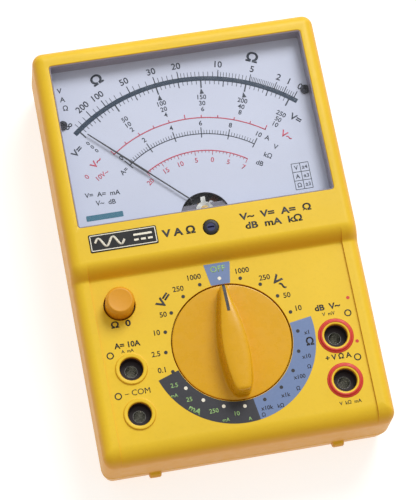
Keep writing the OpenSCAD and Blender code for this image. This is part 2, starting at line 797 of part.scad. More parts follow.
module tray_screws() color(steel)
for (p = tray_posts) translate([p.x, p.y, tray_top_z - tray_t - 1.5]) screw(2.4, 1.5, 1.2, 6);

module batteries() color(blue)
for (i = [0, 1]) translate([0, cell_y[i], cell_z]) rotate([0, i == 0 ? 90 : -90, 0]) {
    translate([0, 0, -cell_l / 2]) cylinder(r = cell_r, h = cell_l);
    translate([0, 0, cell_l / 2]) cylinder(r = 2.7, h = 1);
}

module battery_contacts() color(nickel) {
    // one plate joins both cells on the right, two separate plates carry the leads on the left
    span([contact_x, cell_y[0] - 6, 5], [contact_x + 0.5, cell_y[1] + 6, 16]);
    for (y = cell_y) span([-contact_x - 0.5, y - 6, 5], [-contact_x, y + 6, 16]);
    for (i = [0, 1]) {
        s = i == 0 ? 1 : -1;
        translate([s * (contact_x + 0.1), cell_y[i], cell_z])
            rotate([0, -90 * s, 0]) cylinder(r = 2.2, h = 3.4);
    }
}

module battery_springs() color(steel)
for (i = [0, 1]) {
    s = i == 0 ? -1 : 1;
    translate([s * (contact_x - 0.02), cell_y[i], cell_z]) rotate([0, -90 * s, 0])
        coil_wire(4, contact_x - cell_l / 2 - 0.1, 3, 0.4, 8, 20);
}

front_case();
rear_cover();
case_screws();
meter_window();
name_badge();
meter_base();
base_screws();
dial_plate();
dial_screws();
movement_frame();
frame_screws();
yoke_ring();
core_magnet();
core_spacers();
upper_bridge();
bridge_screws();
upper_jewel();
lower_jewel();
moving_coil();
coil_pivots();
pointer();
balance_weights();
upper_hairspring();
lower_hairspring();
zero_lever();
zero_adjuster();
range_knob();
selector_rotor();
wiper_contacts();
detent_balls();
detent_springs();
selector_washer();
selector_screw();
circuit_board();
board_screws();
resistors();
capacitors();
trimmers();
ohm_zero_knob();
ohm_zero_shaft();
ohm_zero_pot();
jack_10a();
jack_common();
jack_output();
jack_volt_ohm();
fuse();
fuse_clips();
battery_tray();
tray_screws();
batteries();
battery_contacts();
battery_springs();
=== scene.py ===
import json
import math

import bmesh
import bpy
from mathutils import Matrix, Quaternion, Vector, geometry


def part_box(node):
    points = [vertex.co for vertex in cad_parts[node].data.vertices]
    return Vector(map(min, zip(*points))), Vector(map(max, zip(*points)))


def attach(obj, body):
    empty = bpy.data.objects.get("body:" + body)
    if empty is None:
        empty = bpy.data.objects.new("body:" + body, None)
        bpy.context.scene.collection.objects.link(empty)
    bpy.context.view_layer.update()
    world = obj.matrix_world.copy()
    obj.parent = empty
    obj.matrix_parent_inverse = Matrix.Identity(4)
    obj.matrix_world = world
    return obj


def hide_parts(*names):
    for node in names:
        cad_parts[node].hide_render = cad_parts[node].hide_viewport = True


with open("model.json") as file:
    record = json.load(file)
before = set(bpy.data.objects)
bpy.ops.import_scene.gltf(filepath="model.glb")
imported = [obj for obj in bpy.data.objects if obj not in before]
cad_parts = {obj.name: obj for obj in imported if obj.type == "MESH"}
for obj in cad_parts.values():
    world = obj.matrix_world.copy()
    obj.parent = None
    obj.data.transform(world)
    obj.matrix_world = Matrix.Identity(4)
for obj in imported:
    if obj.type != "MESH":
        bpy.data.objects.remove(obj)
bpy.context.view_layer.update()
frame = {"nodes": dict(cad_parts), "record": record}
MM = 0.001
PRINT = 0.03  # thickness of printed ink
LIFT = 0.01  # height of the ink's lower face above the surface it is printed on
WELD = 0.002  # points closer than this are one


def box_mm(node):
    """Lowest and highest corner of a CAD node, in millimetres."""
    low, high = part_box(node)
    return low / MM, high / MM


def middle(node):
    """Middle of a CAD node's box, in millimetres."""
    low, high = box_mm(node)
    return (low + high) / 2


def smooth(t):
    """Soft step from 0 to 1, level at both ends."""
    t = min(1.0, max(0.0, t))
    return t * t * t * (t * (6 * t - 15) + 10)


def mix(a, b, t):
    return a + (b - a) * t


def turn(deg):
    """Unit vector at an angle measured clockwise from +Y."""
    return Vector((math.sin(math.radians(deg)), math.cos(math.radians(deg))))


def steps(low, high, count):
    """The ends of count equal parts from low to high."""
    return [low + (high - low) * i / count for i in range(count + 1)]


# ---- materials ----


def srgb(r, g, b):
    """A linear colour from display values of 0 to 255."""

    def linear(c):
        c /= 255
        return c / 12.92 if c <= 0.04045 else ((c + 0.055) / 1.055) ** 2.4

    return (linear(r), linear(g), linear(b), 1.0)


class Nodes:
    """A material and short calls for the nodes it is made of."""

    def __init__(self, name):
        self.material = bpy.data.materials.new(name)
        self.material.use_nodes = True
        self.tree = self.material.node_tree
        self.tree.nodes.clear()
        self.out = self.add("ShaderNodeOutputMaterial")
        self.place = self.add("ShaderNodeTexCoord").outputs["Object"]

    def add(self, kind, **values):
        node = self.tree.nodes.new(kind)
        for key, value in values.items():
            if key in node.inputs:
                node.inputs[key].default_value = value
            else:
                setattr(node, key, value)
        return node

    def link(self, a, b):
        self.tree.links.new(a, b)

    def noise(self, scale, detail=3.0, roughness=0.55, stretch=None):
        node = self.add("ShaderNodeTexNoise", Scale=scale, Detail=detail, Roughness=roughness)
        source = self.place
        if stretch:
            mapping = self.add("ShaderNodeMapping", Scale=stretch)
            self.link(source, mapping.inputs["Vector"])
            source = mapping.outputs["Vector"]
        self.link(source, node.inputs["Vector"])
        return node.outputs["Fac"]

    def span(self, value, low, high, to_low, to_high):
        """Maps low..high to to_low..to_high and stays at the ends."""
        limits = {"From Min": low, "From Max": high, "To Min": to_low, "To Max": to_high}
        node = self.add("ShaderNodeMapRange", **limits)
        self.link(value, node.inputs["Value"])
        return node.outputs["Result"]

    def times(self, a, b, operation="MULTIPLY"):
        """One sum or product of two sockets or numbers."""
        node = self.add("ShaderNodeMath", operation=operation)
        for i, value in enumerate((a, b)):
            if isinstance(value, (int, float)):
                node.inputs[i].default_value = value
            else:
                self.link(value, node.inputs[i])
        return node.outputs[0]

    def blend(self, factor, a, b):
        node = self.add("ShaderNodeMix", data_type="RGBA")
        self.link(factor, node.inputs["Factor"])
        for i, colour in ((6, a), (7, b)):
            if isinstance(colour, tuple):
                node.inputs[i].default_value = colour
            else:
                self.link(colour, node.inputs[i])
        return node.outputs[2]

    def bump(self, height, strength, distance):
        node = self.add("ShaderNodeBump", Strength=strength, Distance=distance * MM)
        self.link(height, node.inputs["Height"])
        return node.outputs["Normal"]

    def edges(self, radius):
        """0 on flat areas and up to 1 on the outer and inner edges."""
        bevel = self.add("ShaderNodeBevel", samples=4, Radius=radius * MM)
        flat = self.add("ShaderNodeNewGeometry")
        dot = self.add("ShaderNodeVectorMath", operation="DOT_PRODUCT")
        self.link(bevel.outputs["Normal"], dot.inputs[0])
        self.link(flat.outputs["Normal"], dot.inputs[1])
        return self.span(dot.outputs["Value"], 0.985, 0.86, 0.0, 1.0)

    def surface(self, colour, roughness, normal=None, **values):
        shader = self.add("ShaderNodeBsdfPrincipled", **values)
        for name, value in (("Base Color", colour), ("Roughness", roughness)):
            if isinstance(value, (int, float, tuple)):
                shader.inputs[name].default_value = value
            else:
                self.link(value, shader.inputs[name])
        if normal:
            self.link(normal, shader.inputs["Normal"])
        self.link(shader.outputs[0], self.out.inputs["Surface"])
        return self.material


def shade(colour, factor):
    return (colour[0] * factor, colour[1] * factor, colour[2] * factor, 1.0)


def plastic(name, colour, rough=0.4, grain=0.03, wear=0.5, coat=0.0, shine=0.4, side=None):
    """Moulded plastic: fine grain, slow colour change, paler rubbed edges, faint scratches.

    side is a painted shade: the darker, more orange colour the plastic turns to on its upright faces, in place of
    the shade those faces get.
    """
    m = Nodes(name)
    slow = m.noise(26, 4)
    fine = m.noise(900, 3)
    body = m.blend(m.span(slow, 0.3, 0.7, 0.0, 1.0), shade(colour, 0.94), shade(colour, 1.036))
    body = m.blend(m.times(m.span(fine, 0.5, 0.8, 0.0, 1.0), 0.16), body, shade(colour, 0.72))
    rubbed = m.times(m.edges(0.45), m.span(m.noise(140, 4), 0.42, 0.62, 0.25, 1.0))
    pale = tuple(min(1.0, c * 1.12 + 0.03) for c in colour[:3]) + (1.0,)
    body = m.blend(m.times(rubbed, wear * 0.5), body, pale)
    # painted shade: faces that turn away from up blend towards the side colour
    if side:
        facing = m.add("ShaderNodeSeparateXYZ")
        m.link(m.add("ShaderNodeTexCoord").outputs["Normal"], facing.inputs[0])
        body = m.blend(m.span(facing.outputs["Z"], 0.35, 0.99, 1.0, 0.0), body, side)
    scratch = m.span(m.noise(220, 2, 0.5, (1.0, 9.0, 4.0)), 0.70, 0.76, 0.0, 1.0)
    gloss = m.span(m.noise(330, 4), 0.3, 0.7, rough - 0.05, rough + 0.07)
    gloss = m.times(gloss, m.times(scratch, 0.10), "ADD")
    height = m.times(m.noise(1700, 2), m.times(m.noise(3600, 1), 0.5), "ADD")
    finish = {"Specular IOR Level": shine, "Coat Weight": coat, "Coat Roughness": 0.25}
    return m.surface(body, gloss, m.bump(height, 0.35, grain), **finish)


def metal(name, colour, rough=0.32, stretch=(1, 1, 14), tarnish=0.25, grain=0.01):
    """Metal with fine machining streaks and patches of tarnish."""
    m = Nodes(name)
    streak = m.noise(420, 3, 0.6, stretch)
    spots = m.span(m.noise(190, 5), 0.45, 0.75, 0.0, 1.0)
    body = m.blend(m.times(spots, tarnish), colour, shade(colour, 0.62))
    body = m.blend(m.times(m.edges(0.15), 0.5), body, shade(colour, 1.15))
    gloss = m.times(m.span(streak, 0.3, 0.7, rough - 0.06, rough + 0.10), m.times(spots, 0.12), "ADD")
    return m.surface(body, gloss, m.bump(streak, 0.3, grain), Metallic=1.0)


def ink(name, colour, rough=0.45, cover=0.10):
    """Screen-printed ink with a slightly uneven cover."""
    m = Nodes(name)
    patch = m.span(m.noise(1300, 4), 0.35, 0.7, 0.0, 1.0)
    thin = tuple(min(1.0, c * 1.4 + 0.05) for c in colour[:3]) + (1.0,)
    body = m.blend(m.times(patch, cover), colour, thin)
    gloss = m.span(m.noise(700, 3), 0.3, 0.7, rough - 0.05, rough + 0.08)
    return m.surface(body, gloss, m.bump(m.noise(2600, 2), 0.2, 0.01))


def paint(name, colour, rough=0.4):
    """Thin satin paint over a flat metal plate."""
    m = Nodes(name)
    slow = m.span(m.noise(35, 3), 0.3, 0.7, 0.0, 1.0)
    body = m.blend(slow, shade(colour, 0.97), shade(colour, 1.02))
    body = m.blend(m.times(m.span(m.noise(2400, 2), 0.6, 0.8, 0.0, 1.0), 0.12), body, shade(colour, 0.85))
    gloss = m.span(m.noise(500, 3), 0.3, 0.7, rough - 0.04, rough + 0.06)
    return m.surface(body, gloss, m.bump(m.noise(2000, 2), 0.25, 0.012))


def clear(name, tint, haze):
    """Thin clear plastic: lets light straight through and mirrors a little of the room."""
    m = Nodes(name)
    through = m.add("ShaderNodeBsdfTransparent", Color=tint)
    mirror = m.add("ShaderNodeBsdfGlossy", Color=(1, 1, 1, 1))
    m.link(m.span(m.noise(160, 4), 0.35, 0.75, 0.03, haze), mirror.inputs["Roughness"])
    m.link(m.bump(m.noise(90, 2), 0.08, 0.02), mirror.inputs["Normal"])
    # the share mirrored by one face, the same from inside and outside
    graze = m.add("ShaderNodeLayerWeight", Blend=0.5)
    share = m.times(m.times(m.times(graze.outputs["Facing"], 5.0, "POWER"), 0.9), 0.02, "ADD")
    both = m.add("ShaderNodeMixShader")
    m.link(share, both.inputs[0])
    m.link(through.outputs[0], both.inputs[1])
    m.link(mirror.outputs[0], both.inputs[2])
    m.link(both.outputs[0], m.out.inputs["Surface"])
    return m.material


def laminate(name, colour):
    """Circuit board with raised tracks under its lacquer."""
    m = Nodes(name)
    cells = m.add("ShaderNodeTexVoronoi", Scale=240, feature="DISTANCE_TO_EDGE")
    m.link(m.place, cells.inputs["Vector"])
    tracks = m.span(cells.outputs["Distance"], 0.03, 0.07, 0.0, 1.0)
    body = m.blend(tracks, shade(colour, 1.9), colour)
    gloss = m.span(m.noise(500, 3), 0.3, 0.7, 0.30, 0.42)
    return m.surface(body, gloss, m.bump(tracks, 0.3, 0.03))


def sleeve(name, colour, band, axis_scale):
    """A printed sleeve with one band of a second colour across it."""
    m = Nodes(name)
    axes = m.add("ShaderNodeSeparateXYZ")
    m.link(m.place, axes.inputs[0])
    far = m.times(axes.outputs["X"], axis_scale)
    stripe = m.span(far, 0.52, 0.56, 0.0, 1.0)
    body = m.blend(stripe, colour, band)
    body = m.blend(m.times(m.span(m.noise(300, 4), 0.4, 0.7, 0.0, 1.0), 0.12), body, shade(colour, 0.7))
    gloss = m.span(m.noise(400, 3), 0.3, 0.7, 0.20, 0.34)
    return m.surface(body, gloss, m.bump(m.noise(900, 2), 0.15, 0.02))


# painted shade: the darker orange that the case's walls, step and roundings take in place of their real shade
SIDE_PAINTED_SHADE = srgb(222, 160, 32)
case_yellow = plastic("case_yellow_plastic", srgb(235, 196, 34), 0.42, 0.035, side=SIDE_PAINTED_SHADE)
knob_amber = plastic("knob_amber_plastic", srgb(221, 166, 18), 0.27, 0.02, shine=0.35)
cap_orange = plastic("cap_orange_plastic", srgb(222, 154, 26), 0.40, 0.02, wear=0.7)
black_moulding = plastic("black_moulding", srgb(26, 26, 29), 0.42, 0.03)
badge_gloss = plastic("badge_gloss", srgb(18, 17, 18), 0.22, 0.01, coat=0.4)
dial_paint = paint("dial_paint", srgb(206, 211, 226), 0.45)
window_clear = clear("window_clear", (0.98, 0.985, 1.0, 1.0), 0.12)
window_edge = plastic("window_edge", srgb(150, 144, 156), 0.35, 0.01, wear=0.2)
ink_black = ink("ink_black", srgb(28, 26, 28))
ink_dark = ink("ink_dial_dark", srgb(38, 48, 62))
ink_red = ink("ink_red", srgb(206, 52, 34))
ink_pink = ink("ink_dial_red", srgb(204, 84, 104))
ink_blue = ink("ink_band_blue", srgb(106, 128, 172))
ink_night = ink("ink_band_dark", srgb(38, 38, 46))
ink_white = ink("ink_white", srgb(236, 232, 214))
ink_green = ink("ink_band_green", srgb(150, 190, 120))
ink_teal = ink("ink_teal", srgb(44, 110, 130))
# painted reflection: the mirror band is dark blue-grey glossy ink standing in for what the mirror strip reflects
mirror_reflection_band = ink("dial_mirror_band", srgb(44, 60, 78), 0.18, 0.05)
steel = metal("zinc_steel", srgb(186, 188, 192), 0.30)
iron = metal("soft_iron", srgb(96, 97, 100), 0.42, (1, 1, 20), 0.4)
magnet = metal("ground_magnet", srgb(128, 130, 134), 0.30, (1, 1, 24), 0.2)
alloy = metal("cast_alloy", srgb(168, 170, 174), 0.45, (1, 1, 2), 0.2, 0.03)
brass = metal("turned_brass", srgb(176, 148, 96), 0.32)
copper = metal("copper_winding", srgb(128, 76, 52), 0.42, (1, 26, 26), 0.35, 0.04)
bronze = metal("spring_bronze", srgb(190, 146, 86), 0.30)
nickel = metal("nickel_plate", srgb(196, 194, 186), 0.20)
can = metal("pressed_can", srgb(160, 162, 166), 0.36)
pointer_black = paint("pointer_black", srgb(24, 24, 28), 0.45)
board_green = laminate("board_laminate", srgb(22, 74, 44))
resistor_lacquer = plastic("resistor_lacquer", srgb(206, 178, 126), 0.30, 0.02)
capacitor_film = plastic("capacitor_film", srgb(190, 112, 34), 0.24, 0.02)
trimmer_blue = plastic("trimmer_blue", srgb(40, 78, 156), 0.32, 0.02)
fuse_glass = clear("fuse_glass", (0.80, 0.88, 0.86, 1.0), 0.10)
cell_print = sleeve("cell_sleeve", srgb(28, 48, 120), srgb(196, 128, 40), 30.0)
# brown-black insert colour that also paints the shade deep inside the jack holes
liner_dark_and_shade = plastic("jack_socket_dark", srgb(38, 22, 26), 0.35, 0.02)
adjuster_blue = plastic("adjuster_blue", srgb(40, 44, 92), 0.35, 0.02)
dark_alloy = metal("dark_alloy", srgb(104, 102, 108), 0.45, (1, 1, 12), 0.3)
black_steel = metal("blackened_steel", srgb(58, 58, 64), 0.40)

slot_materials = {
    "case_plastic": case_yellow,
    "knob_plastic": knob_amber,
    "clear_window": window_clear,
    "badge_black": badge_gloss,
    "black_plastic": black_moulding,
    "dial_face": dial_paint,
    "steel": steel,
    "soft_iron": iron,
    "magnet": magnet,
    "cast_alloy": alloy,
    "brass": brass,
    "copper_wire": copper,
    "bronze": bronze,
    "nickel": nickel,
    "pointer_paint": pointer_black,
    "board_laminate": board_green,
    "resistor_body": resistor_lacquer,
    "capacitor_film": capacitor_film,
    "trimmer_blue": trimmer_blue,
    "pot_can": can,
    "fuse_glass": fuse_glass,
    "cell_sleeve": cell_print,
}
for sub in frame["record"]["subparts"]:
    node = frame["nodes"][sub["node"]]
    node.data.materials.clear()
    node.data.materials.append(slot_materials[sub["material_slot"]])
darker = {"upper_bridge": dark_alloy, "dial_screws": black_steel, "bridge_screws": black_steel}
for name, material in darker.items():
    frame["nodes"][name].data.materials[0] = material


# ---- mesh building, in millimetres ----


def inside(point, loop):
    """Whether a point is inside a closed loop, seen from above."""
    hit = False
    for i, (x1, y1, *_) in enumerate(loop):
        x2, y2 = loop[i - 1][:2]
        if (y1 > point[1]) != (y2 > point[1]):
            if point[0] < (x2 - x1) * (point[1] - y1) / (y2 - y1) + x1:
                hit = not hit
    return hit


class Shape:
    """Points and faces of one piece, joined where they meet."""

    def __init__(self):
        self.points, self.faces, self.slots = [], [], []

    def add(self, points, faces, slot=0):
        start = len(self.points)
        self.points += [tuple(p) for p in points]
        self.faces += [[start + i for i in f] for f in faces]
        self.slots += [slot] * len(faces)

    def loft(self, loops, slot=0, closed=True):
        """Quads between loops that have the same number of points."""
        n = len(loops[0])
        faces = []
        for k in range(len(loops) - 1):
            for i in range(n if closed else n - 1):
                j = (i + 1) % n
                faces.append([k * n + i, k * n + j, (k + 1) * n + j, (k + 1) * n + i])
        self.add([p for loop in loops for p in loop], faces, slot)

    def fill(self, z, outer, holes=(), slot=0):
        """The flat area at height z inside outer and outside the holes."""
        coords, edges = [], []
        for loop in (outer, *holes):
            start, count = len(coords), len(loop)
            coords += [Vector(p[:2]) for p in loop]
            edges += [(start + i, start + (i + 1) % count) for i in range(count)]
        points, _, faces, *_ = geometry.delaunay_2d_cdt(coords, edges, [], 0, 1e-6)
        kept = []
        for f in faces:
            centre = sum((points[i] for i in f), Vector((0, 0))) / len(f)
            if inside(centre, outer) and not any(inside(centre, hole) for hole in holes):
                kept.append(list(f))
        self.add([(p.x, p.y, z) for p in points], kept, slot)

    def revolve(self, x, y, profile, count=48, slot=0):
        """Turns a profile of (radius, height) about a vertical axis."""
        self.loft([circle(x, y, r, z, count) for r, z in profile], slot)

    def cap(self, loop, slot=0):
        """One face over a whole loop."""
        self.add(loop, [list(range(len(loop)))], slot)

    def make(self, name, materials, body, slot=None, replaces=(), sharp=34, thick=0.0):
        """Turns the shape into a piece on a body. thick is for prints, which face upwards."""
        mesh = bpy.data.meshes.new(name)
        mesh.from_pydata([Vector(p) * MM for p in self.points], [], self.faces)
        for material in materials:
            mesh.materials.append(material)
        mesh.polygons.foreach_set("material_index", self.slots)
        bm = bmesh.new()
        bm.from_mesh(mesh)
        bmesh.ops.remove_doubles(bm, verts=bm.verts, dist=WELD * MM)
        bmesh.ops.dissolve_degenerate(bm, edges=bm.edges, dist=WELD * MM / 2)
        if thick:
            for f in bm.faces:
                f.normal_update()
                if f.normal.z < 0:
                    f.normal_flip()
        else:
            bmesh.ops.recalc_face_normals(bm, faces=bm.faces)
        bm.to_mesh(mesh)
        bm.free()
        mesh.shade_smooth()
        mesh.set_sharp_from_angle(angle=math.radians(sharp))
        piece = bpy.data.objects.new(name, mesh)
        bpy.context.scene.collection.objects.link(piece)
        if thick:
            skin = piece.modifiers.new("print", "SOLIDIFY")
            skin.thickness, skin.offset = thick * MM, 1.0
        weighted = piece.modifiers.new("normals", "WEIGHTED_NORMAL")
        weighted.keep_sharp = True
        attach(piece, body)
        if replaces:
            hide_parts(*replaces)


def circle(x, y, r, z, count=48):
    return [
        (x + r * math.cos(2 * math.pi * i / count), y + r * math.sin(2 * math.pi * i / count), z)
        for i in range(count)
    ]


def grow(low, high, out):
    """The corners of a flat box made larger by out on every side."""
    step = Vector((out, out, 0))
    return low - step, high + step


def round_rect(low, high, r, z, count=6):
    """A rectangle with round corners, counter-clockwise from its lower right corner."""
    points = []
    corners = (
        (high.x - r, low.y + r, -90),
        (high.x - r, high.y - r, 0),
        (low.x + r, high.y - r, 90),
        (low.x + r, low.y + r, 180),
    )
    for cx, cy, first in corners:
        for i in range(count + 1):
            a = math.radians(first + 90 * i / count)
            points.append((cx + r * math.cos(a), cy + r * math.sin(a), z))
    return points


CAPITAL = 0.7  # height of a capital letter in a text of size 1
letters = {}


def glyphs(text, weight):
    """Flat mesh of a text with capitals of height 1, as points and faces about its middle."""
    if (text, weight) not in letters:
        curve = bpy.data.curves.new("label", "FONT")
        curve.body, curve.size, curve.resolution_u, curve.offset = text, 1.0, 3, weight
        curve.align_x, curve.align_y = "CENTER", "CENTER"
        holder = bpy.data.objects.new("label", curve)
        bpy.context.scene.collection.objects.link(holder)
        bpy.context.view_layer.update()
        graph = bpy.context.evaluated_depsgraph_get()
        mesh = bpy.data.meshes.new_from_object(holder.evaluated_get(graph))
        points = [tuple(v.co[:2]) for v in mesh.vertices]
        faces = [list(p.vertices) for p in mesh.polygons]
        bpy.data.objects.remove(holder)
        bpy.data.meshes.remove(mesh)
        bpy.data.curves.remove(curve)
        xs, ys = [p[0] for p in points], [p[1] for p in points]
        cx, cy = (min(xs) + max(xs)) / 2, (min(ys) + max(ys)) / 2
        scaled = [((x - cx) / CAPITAL, (y - cy) / CAPITAL) for x, y in points]
        letters[text, weight] = (scaled, faces)
    return letters[text, weight]


def write(shape, text, x, y, z, height, angle=0.0, wide=1.0, weight=0.014):
    """Adds a text, turned clockwise by angle, stretched by wide, its strokes swollen by weight."""
    points, faces = glyphs(text, weight)
    c, s = math.cos(math.radians(angle)), math.sin(math.radians(angle))
    placed = []
    for px, py in points:
        px, py = px * height * wide, py * height
        placed.append((x + px * c + py * s, y - px * s + py * c, z))
    shape.add(placed, faces)


def dot(shape, x, y, r, z):
    shape.cap(circle(x, y, r, z, 20))


def band(shape, centre, r1, r2, a1, a2, z, pieces=None):
    """A flat arc between two radii, angles clockwise from +Y."""
    n = pieces or max(4, int(abs(a2 - a1) / 1.5))
    loops = []
    for r in (r1, r2):
        loops.append([(centre[0] + r * turn(a).x, centre[1] + r * turn(a).y, z) for a in steps(a1, a2, n)])
    shape.loft(loops, closed=False)


def stroke(shape, a, b, width, z):
    """A straight printed line."""
    a, b = Vector(a[:2]), Vector(b[:2])
    side = (b - a).normalized().orthogonal() * width / 2
    shape.cap([(*(a + side), z), (*(a - side), z), (*(b - side), z), (*(b + side), z)])


def tick(shape, centre, angle, r1, r2, width, z):
    """A scale line between two radii."""
    c, d = Vector(centre), turn(angle)
    stroke(shape, c + d * r1, c + d * r2, width, z)


# ---- sizes read from the CAD ----

case_low, case_high = box_mm("front_case")
HALF = case_high.x
LOW, HIGH = case_low.y, case_high.y + 0.9
PART, HEAD = case_low.z, case_high.z  # parting line and face of the meter head
INSET = 0.1  # draft of the side walls
SIDE_R, FOOT_R = 4.0, 6.5  # rounding of the front edge, and of its lower end
RIM, PANEL = 30.3, 29.5  # rims at the sides, and the panel sunk between them
RIM_X = 44.0
STEP_LOW, STEP_TOP, STEP_KNEE = -9.5, -3.2, 0.2
knob = middle("selector_rotor")
knob_high = box_mm("range_knob")[1]
KNOB_R = knob_high.x
RECESS_R, RECESS = 20.65, 27.1  # round recess that the range knob turns in
ROTOR_R, ROTOR_TOP = 22.5, 24.8
SPINDLE_R = 6.0
ohm = middle("ohm_zero_knob")
ohm_high = box_mm("ohm_zero_knob")[1]
OHM_HOLE_R = 5.4
SHROUD_R, SHROUD_FOOT, JACK_R = 4.0, 19.0, 5.6
jacks = {n: middle(n) for n in ("jack_10a", "jack_common", "jack_output", "jack_volt_ohm")}
adjuster = middle("zero_adjuster")
ADJUSTER_TOP = box_mm("zero_adjuster")[1].z
ADJUSTER_R = 2.65
ADJUSTER_FOOT_R, ADJUSTER_FOOT = 1.9, HEAD - 2.4
ADJUSTER_SEAT = 0.9
flange_low, flange_high = box_mm("meter_window")
FLANGE = 1.7
window_low, window_high = grow(flange_low, flange_high, -FLANGE)
PANE_Z = flange_high.z
dial_low, dial_high = box_mm("dial_plate")
DIAL = dial_high.z
axis = middle("upper_jewel")
badge_low, badge_high = box_mm("name_badge")

# ---- front shell ----

WALL_X = 0.05
EDGE_X = 44.6
HALF_EDGE = [RIM_X - WALL_X, RIM_X + WALL_X, EDGE_X]
EDGE_XS = [-x for x in reversed(HALF_EDGE)] + steps(-40, 40, 10) + HALF_EDGE
SIDE_YS = steps(-65.5, -12, 12) + steps(STEP_LOW, STEP_TOP, 14) + steps(-2, 69.2, 16)
CORNER_R = 3.8
NEAR = 1e-6


def outline(half, low, high, corner):
    """A round-cornered loop of (x, y, share of the lower end), with the same stations always."""
    points = [(x, low, 1.0) for x in EDGE_XS]
    corners = (
        (half - corner, low + corner, -90),
        (half - corner, high - corner, 0),
        (corner - half, high - corner, 90),
        (corner - half, low + corner, 180),
    )
    for cx, cy, first in corners:
        for i in range(9):
            a = math.radians(first + 90 * i / 8)
            foot = math.sin(a) ** 2 if first in (-90, 180) else 0.0
            points.append((cx + corner * math.cos(a), cy + corner * math.sin(a), foot))
        if first == -90:
            points += [(half, y, 0.0) for y in SIDE_YS]
        if first == 0:
            points += [(x, high, 0.0) for x in reversed(EDGE_XS)]
        if first == 90:
            points += [(-half, y, 0.0) for y in reversed(SIDE_YS)]
    return points


def rise(y):
    """The step's share of its full height: a short curve at the foot and a long one at the top."""
    t = min(max((y - STEP_LOW) / (STEP_TOP - STEP_LOW), 0.0), 1.0)
    return t * t / STEP_KNEE if t <= STEP_KNEE else 1 - (1 - t) ** 2 / (1 - STEP_KNEE)


def heights(x, y, foot):
    """Where the rounding of the outer edge starts, and the height it ends at."""
    up = (HEAD - RIM) * rise(y)
    top = PANEL if foot == 1.0 and abs(x) < RIM_X else RIM + up
    return mix(RIM - SIDE_R, RIM - FOOT_R, foot) + up, top


def outer_ring(share, angle):
    """share runs up the drafted wall, then angle runs over the rounding."""
    away = 1 - math.cos(math.radians(angle))
    side, foot_in = INSET * share + SIDE_R * away, INSET * share + FOOT_R * away
    corner = max(CORNER_R - side, 0.3)
    loop = []
    for x, y, foot in outline(HALF - side, LOW + foot_in, HIGH - side, corner):
        start, top = heights(x, y, foot)
        z = mix(PART + 0.3, start, share) + (top - start) * math.sin(math.radians(angle))
        loop.append((x, y, z))
    return loop


def inner_ring(side, foot, top_end, low_z, high_z):
    """A loop inside the shell, at one height below the panel and another below the head."""
    loop = []
    for x, y, _ in outline(HALF - side, LOW + foot, HIGH - top_end, 1.5):
        loop.append((x, y, low_z if y < UNDER_Y else high_z))
    return loop


UNDER, UNDER_HEAD, UNDER_Y = PANEL - 2.2, HEAD - 2.4, -3.4
SEAM = 0.25  # the groove between the two shells
shell = Shape()
rings = [[(x * (1 - SEAM / HALF), y * (1 - SEAM / HIGH), PART) for x, y, _ in outer_ring(0, 0)]]
rings += [outer_ring(s, 0) for s in (0, 0.35, 0.7, 1)]
rings += [outer_ring(1, a) for a in steps(9, 90, 9)]
inner = [
    inner_ring(3.4, 5.8, 3.4, UNDER, UNDER_HEAD),
    inner_ring(2.8, 4.0, 2.8, 21, 24),
    inner_ring(2.6, 2.8, 2.6, PART, PART),
]
shell.loft(inner + rings)
last = rings[-1]
in_x = HALF - INSET - SIDE_R

# raised head
rim_lines = (-RIM_X - WALL_X, -RIM_X + WALL_X, RIM_X - WALL_X, RIM_X + WALL_X)
head_loop = [p for p in last if p[1] > STEP_TOP - NEAR]
head_line = [(x, STEP_TOP, HEAD) for x in rim_lines]
window_rim = [
    round_rect(*grow(window_low, window_high, out), 1.0 + out, z)
    for out, z in ((0.35, HEAD), (0.1, HEAD - 0.1), (0, HEAD - 0.35), (0, UNDER_HEAD))
]
seat = HEAD - ADJUSTER_SEAT
adjuster_rim = [
    (3.0, HEAD), (2.85, HEAD - 0.05), (2.8, HEAD - 0.2), (2.8, seat), (2.0, seat), (2.0, UNDER_HEAD),
]
adjuster_hole = circle(adjuster.x, adjuster.y, adjuster_rim[0][0], HEAD)
shell.fill(HEAD, head_line + head_loop, [window_rim[0], adjuster_hole])
shell.loft(window_rim)
shell.revolve(adjuster.x, adjuster.y, adjuster_rim)

# sloping step down to the panel and the rims
rows = []
for y in [y for y in SIDE_YS if STEP_LOW - NEAR <= y <= STEP_TOP + NEAR]:
    high, deep = mix(RIM, HEAD, rise(y)), mix(PANEL, HEAD, rise(y))
    row = [(-in_x, y, high), (rim_lines[0], y, high), (rim_lines[1], y, deep)]
    rows.append(row + [(-p[0], p[1], p[2]) for p in reversed(row)])
shell.loft(rows, closed=False)

# lower panel with its openings
KNOB_SIDES = 96
low_ys = [y for y in SIDE_YS if y <= STEP_LOW + NEAR]
end_y = last[0][1]
panel_x = RIM_X - WALL_X
floor_line = [(p[0], p[1]) for p in last[: len(EDGE_XS)] if abs(p[0]) <= panel_x + NEAR]
panel_loop = floor_line + [(panel_x, y) for y in low_ys] + [(-panel_x, y) for y in reversed(low_ys)]
knob_rim = [
    (RECESS_R + 0.15, PANEL), (RECESS_R + 0.05, PANEL - 0.04), (RECESS_R, PANEL - 0.14), (RECESS_R, RECESS),
    (SPINDLE_R, RECESS), (SPINDLE_R, ROTOR_TOP), (ROTOR_R, ROTOR_TOP), (ROTOR_R, UNDER),
]
ohm_rim = [
    (OHM_HOLE_R + 0.35, PANEL), (OHM_HOLE_R + 0.1, PANEL - 0.08), (OHM_HOLE_R, PANEL - 0.3),
    (OHM_HOLE_R, UNDER),
]
jack_rim = [
    (5.75, PANEL), (5.5, PANEL + 0.08), (5.38, PANEL + 0.25), (5.32, PANEL + 0.45), (5.1, PANEL + 0.6),
    (4.5, PANEL + 0.6), (4.18, PANEL + 0.5), (SHROUD_R, PANEL + 0.25), (SHROUD_R, SHROUD_FOOT),
    (JACK_R, SHROUD_FOOT), (JACK_R, UNDER),
]


